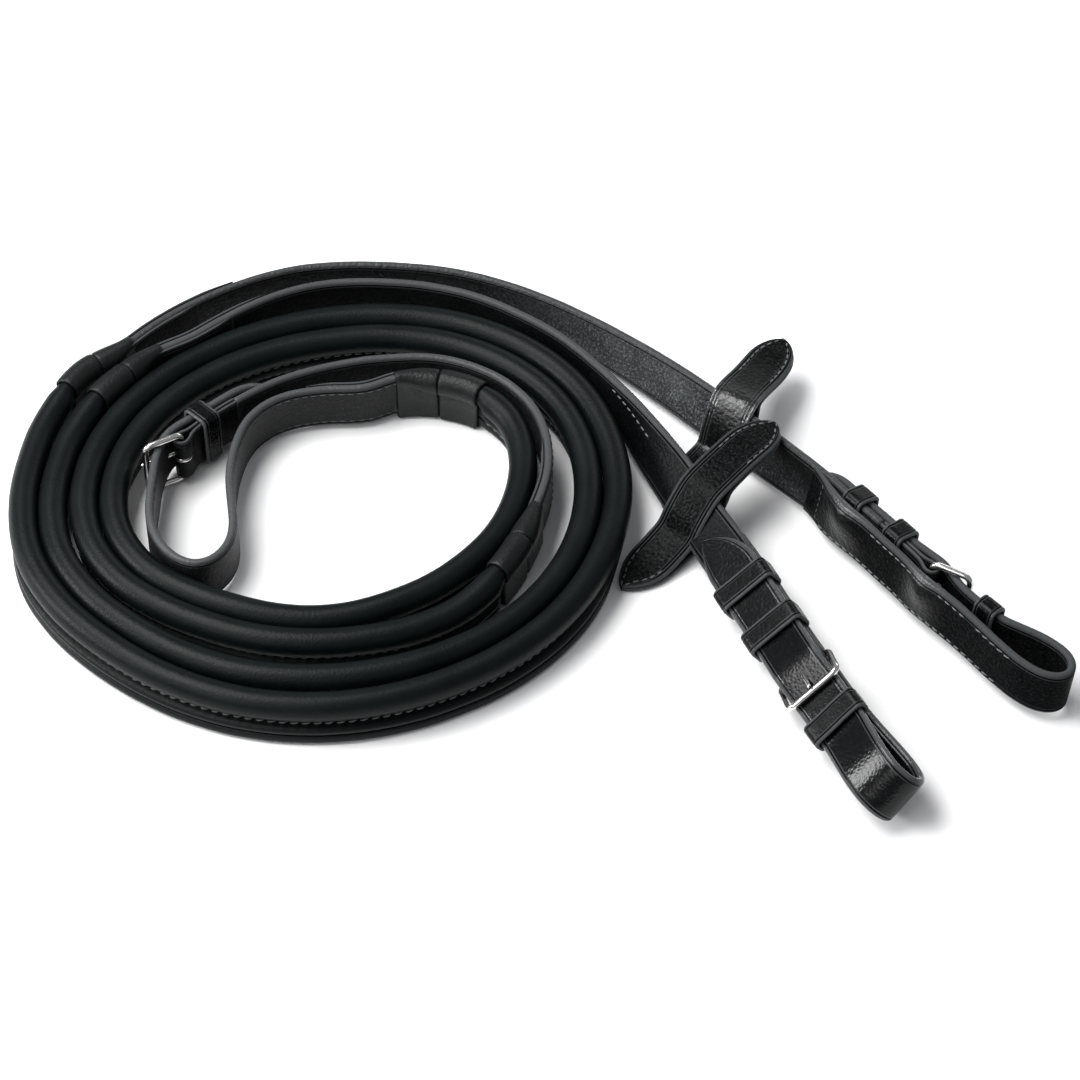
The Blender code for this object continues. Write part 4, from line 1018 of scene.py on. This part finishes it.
# Which point of each coil's lay is the roll's first and last
ENDS = {"a": (1, -2), "b": (2, -3)}
for tag, route in REINS.items():
    roll_start, roll_end = (route.near(*COILS[tag][i][:2]) for i in ENDS[tag])
    strap_stop = roll_start - BIT_WRAP
    hand_start = roll_end + HAND_WRAP
    grip(tag, route, strap_stop + BIT_WRAP * WRAP_REACH, hand_start - HAND_WRAP * WRAP_REACH,
         (roll_start, roll_end))
    sleeve("wrap_bit_" + tag, "sleeve_bit_" + tag, route, strap_stop, roll_start, 1 if tag == "a" else 3)
    sleeve("wrap_hand_" + tag, "sleeve_hand_" + tag, route, hand_start, roll_end, 5 if tag == "a" else 8)
    strap("rein_strap_" + tag, "strap_" + tag, route, CHAPE_END + 0.3, strap_stop + 5.0,
          REIN_A_SHEEN_LEATHER if tag == "a" else STRAP)
    hand_end = route.length if tag == "b" else route.length - HAND_A_SHORT
    strap("hand_strap_" + tag, "hand_" + tag, route, hand_start - 5.0, hand_end, HAND, tip=tag == "b")
    doubling("doubling_bit_" + tag, route, strap_stop + 4.0, strap_stop - 26.0, -1)
    doubling("backing_bit_" + tag, route, strap_stop + 4.0, strap_stop - 40.0, 1)
    doubling("doubling_hand_" + tag, route, hand_start - 4.0, hand_start + 28.0, -1 if tag == "a" else 1)
for word, tag, s0, s1, ends, side, thread in (
        ("rein_b_row", "b", 155.0, 176.5, (2.5, 5.0), -1, PALE_THREAD),
        ("hand_b_row_top", "b", 1112.0, 1151.0, (5.9, 5.9), -1, THREAD),
        ("hand_b_row_low", "b", 1112.0, 1151.0, (-5.9, -5.9), -1, THREAD),
        ("hand_a_row_top", "a", 1142.0, 1176.0, (5.9, 5.9), 1, THREAD),
        ("hand_a_row_low", "a", 1142.0, 1176.0, (-5.9, -5.9), 1, THREAD)):
    stitch_row(word, REINS[tag], (s0, s1), ends, side, thread)
bit_end("a", REINS["a"], 1)
bit_end("b", REINS["b"], -1)
rein_stop("a", REINS["a"], REINS["a"].near(*STOP_A_PLACE), (38.0, 33.0), (17.0, 7.0), 5.0, 1.0)
rein_stop("b", REINS["b"], REINS["b"].near(*STOP_B_PLACE), (37.0, 32.4), (21.0, 21.0), 10.0, 0.0)

hand = REINS["a"]
heel = hand.at(hand.length)[0]
t, w, v = (a[0] for a in hand.axes(hand.length))
end = np.array((*HAND_END_BAR, 0.0)) - PLAN_CENTRE
end[2] = heel[2]
buckle("hand", heel, end, w, v)
chape("hand", hand, hand.length, -1.0)
keeper("keeper_hand", hand, hand.length - 11.0, -1.8, 5.6, HAND_KEEPER_WIDTH, 9)


# ---- Floor, light and camera

SENSOR_MM = 36.0
LENS_MM = 3.3 * 1100.0 / 1080.0 * SENSOR_MM
CAMERA_PITCH = 48.0
CAMERA_DISTANCE = 1.1
WORLD_STRENGTH = 0.3

def floor():
    """Pale ground under the reins, a hair below their lowest point."""
    mesh = bpy.data.meshes.new("floor")
    mesh.from_pydata([(-4, -4, 0), (4, -4, 0), (4, 4, 0), (-4, 4, 0)], [], [(0, 1, 2, 3)])
    obj = in_scene("floor", mesh)
    obj.location.z = -0.0002
    material = principled("pale_floor", {"Base Color": (0.9, 0.9, 0.9, 1.0), "Roughness": 0.8,
                                         "Specular IOR Level": 0.1})[0]
    mesh.materials.append(material)


def put(name, data, place, ahead):
    """Camera or light at a place, looking along a direction."""
    obj = in_scene(name, data)
    obj.location = place
    obj.rotation_mode = "QUATERNION"
    obj.rotation_quaternion = ahead.to_track_quat("-Z", "Y")
    return obj


def softbox(name, place, size, power):
    """Rectangular light aimed at the middle of the reins."""
    data = bpy.data.lights.new(name, "AREA")
    data.shape = "RECTANGLE"
    data.size, data.size_y = size
    data.energy = power
    put(name, data, place, -Vector(place))


def camera():
    """Long lens looking down on the reins from the front."""
    data = bpy.data.cameras.new("camera")
    data.sensor_width = SENSOR_MM
    data.lens = LENS_MM
    data.clip_start = 0.05
    data.clip_end = 20.0
    down = math.radians(CAMERA_PITCH)
    ahead = Vector((0.0, math.cos(down), -math.sin(down)))
    place = Vector(tuple(-PLAN_CENTRE * MM)) - ahead * CAMERA_DISTANCE
    bpy.context.scene.camera = put("camera", data, place, ahead)


floor()
camera()
softbox("overhead_softbox", (-0.48, 0.12, 1.0), (0.9, 0.6), 18.5)
softbox("front_fill", (-0.7, -0.8, 0.9), (0.7, 0.7), 4.2)
softbox("left_window", (-1.14, -0.02, 0.46), (0.4, 0.36), 10.0)
softbox("back_rim", (0.5, 1.0, 0.45), (0.9, 0.3), 2.4)
world = bpy.data.worlds.new("studio")
bpy.context.scene.world = world
world.use_nodes = True
background = world.node_tree.nodes["Background"].inputs
background["Color"].default_value = (0.95, 0.96, 1.0, 1.0)
background["Strength"].default_value = WORLD_STRENGTH
bpy.context.scene.view_settings.view_transform = "Standard"
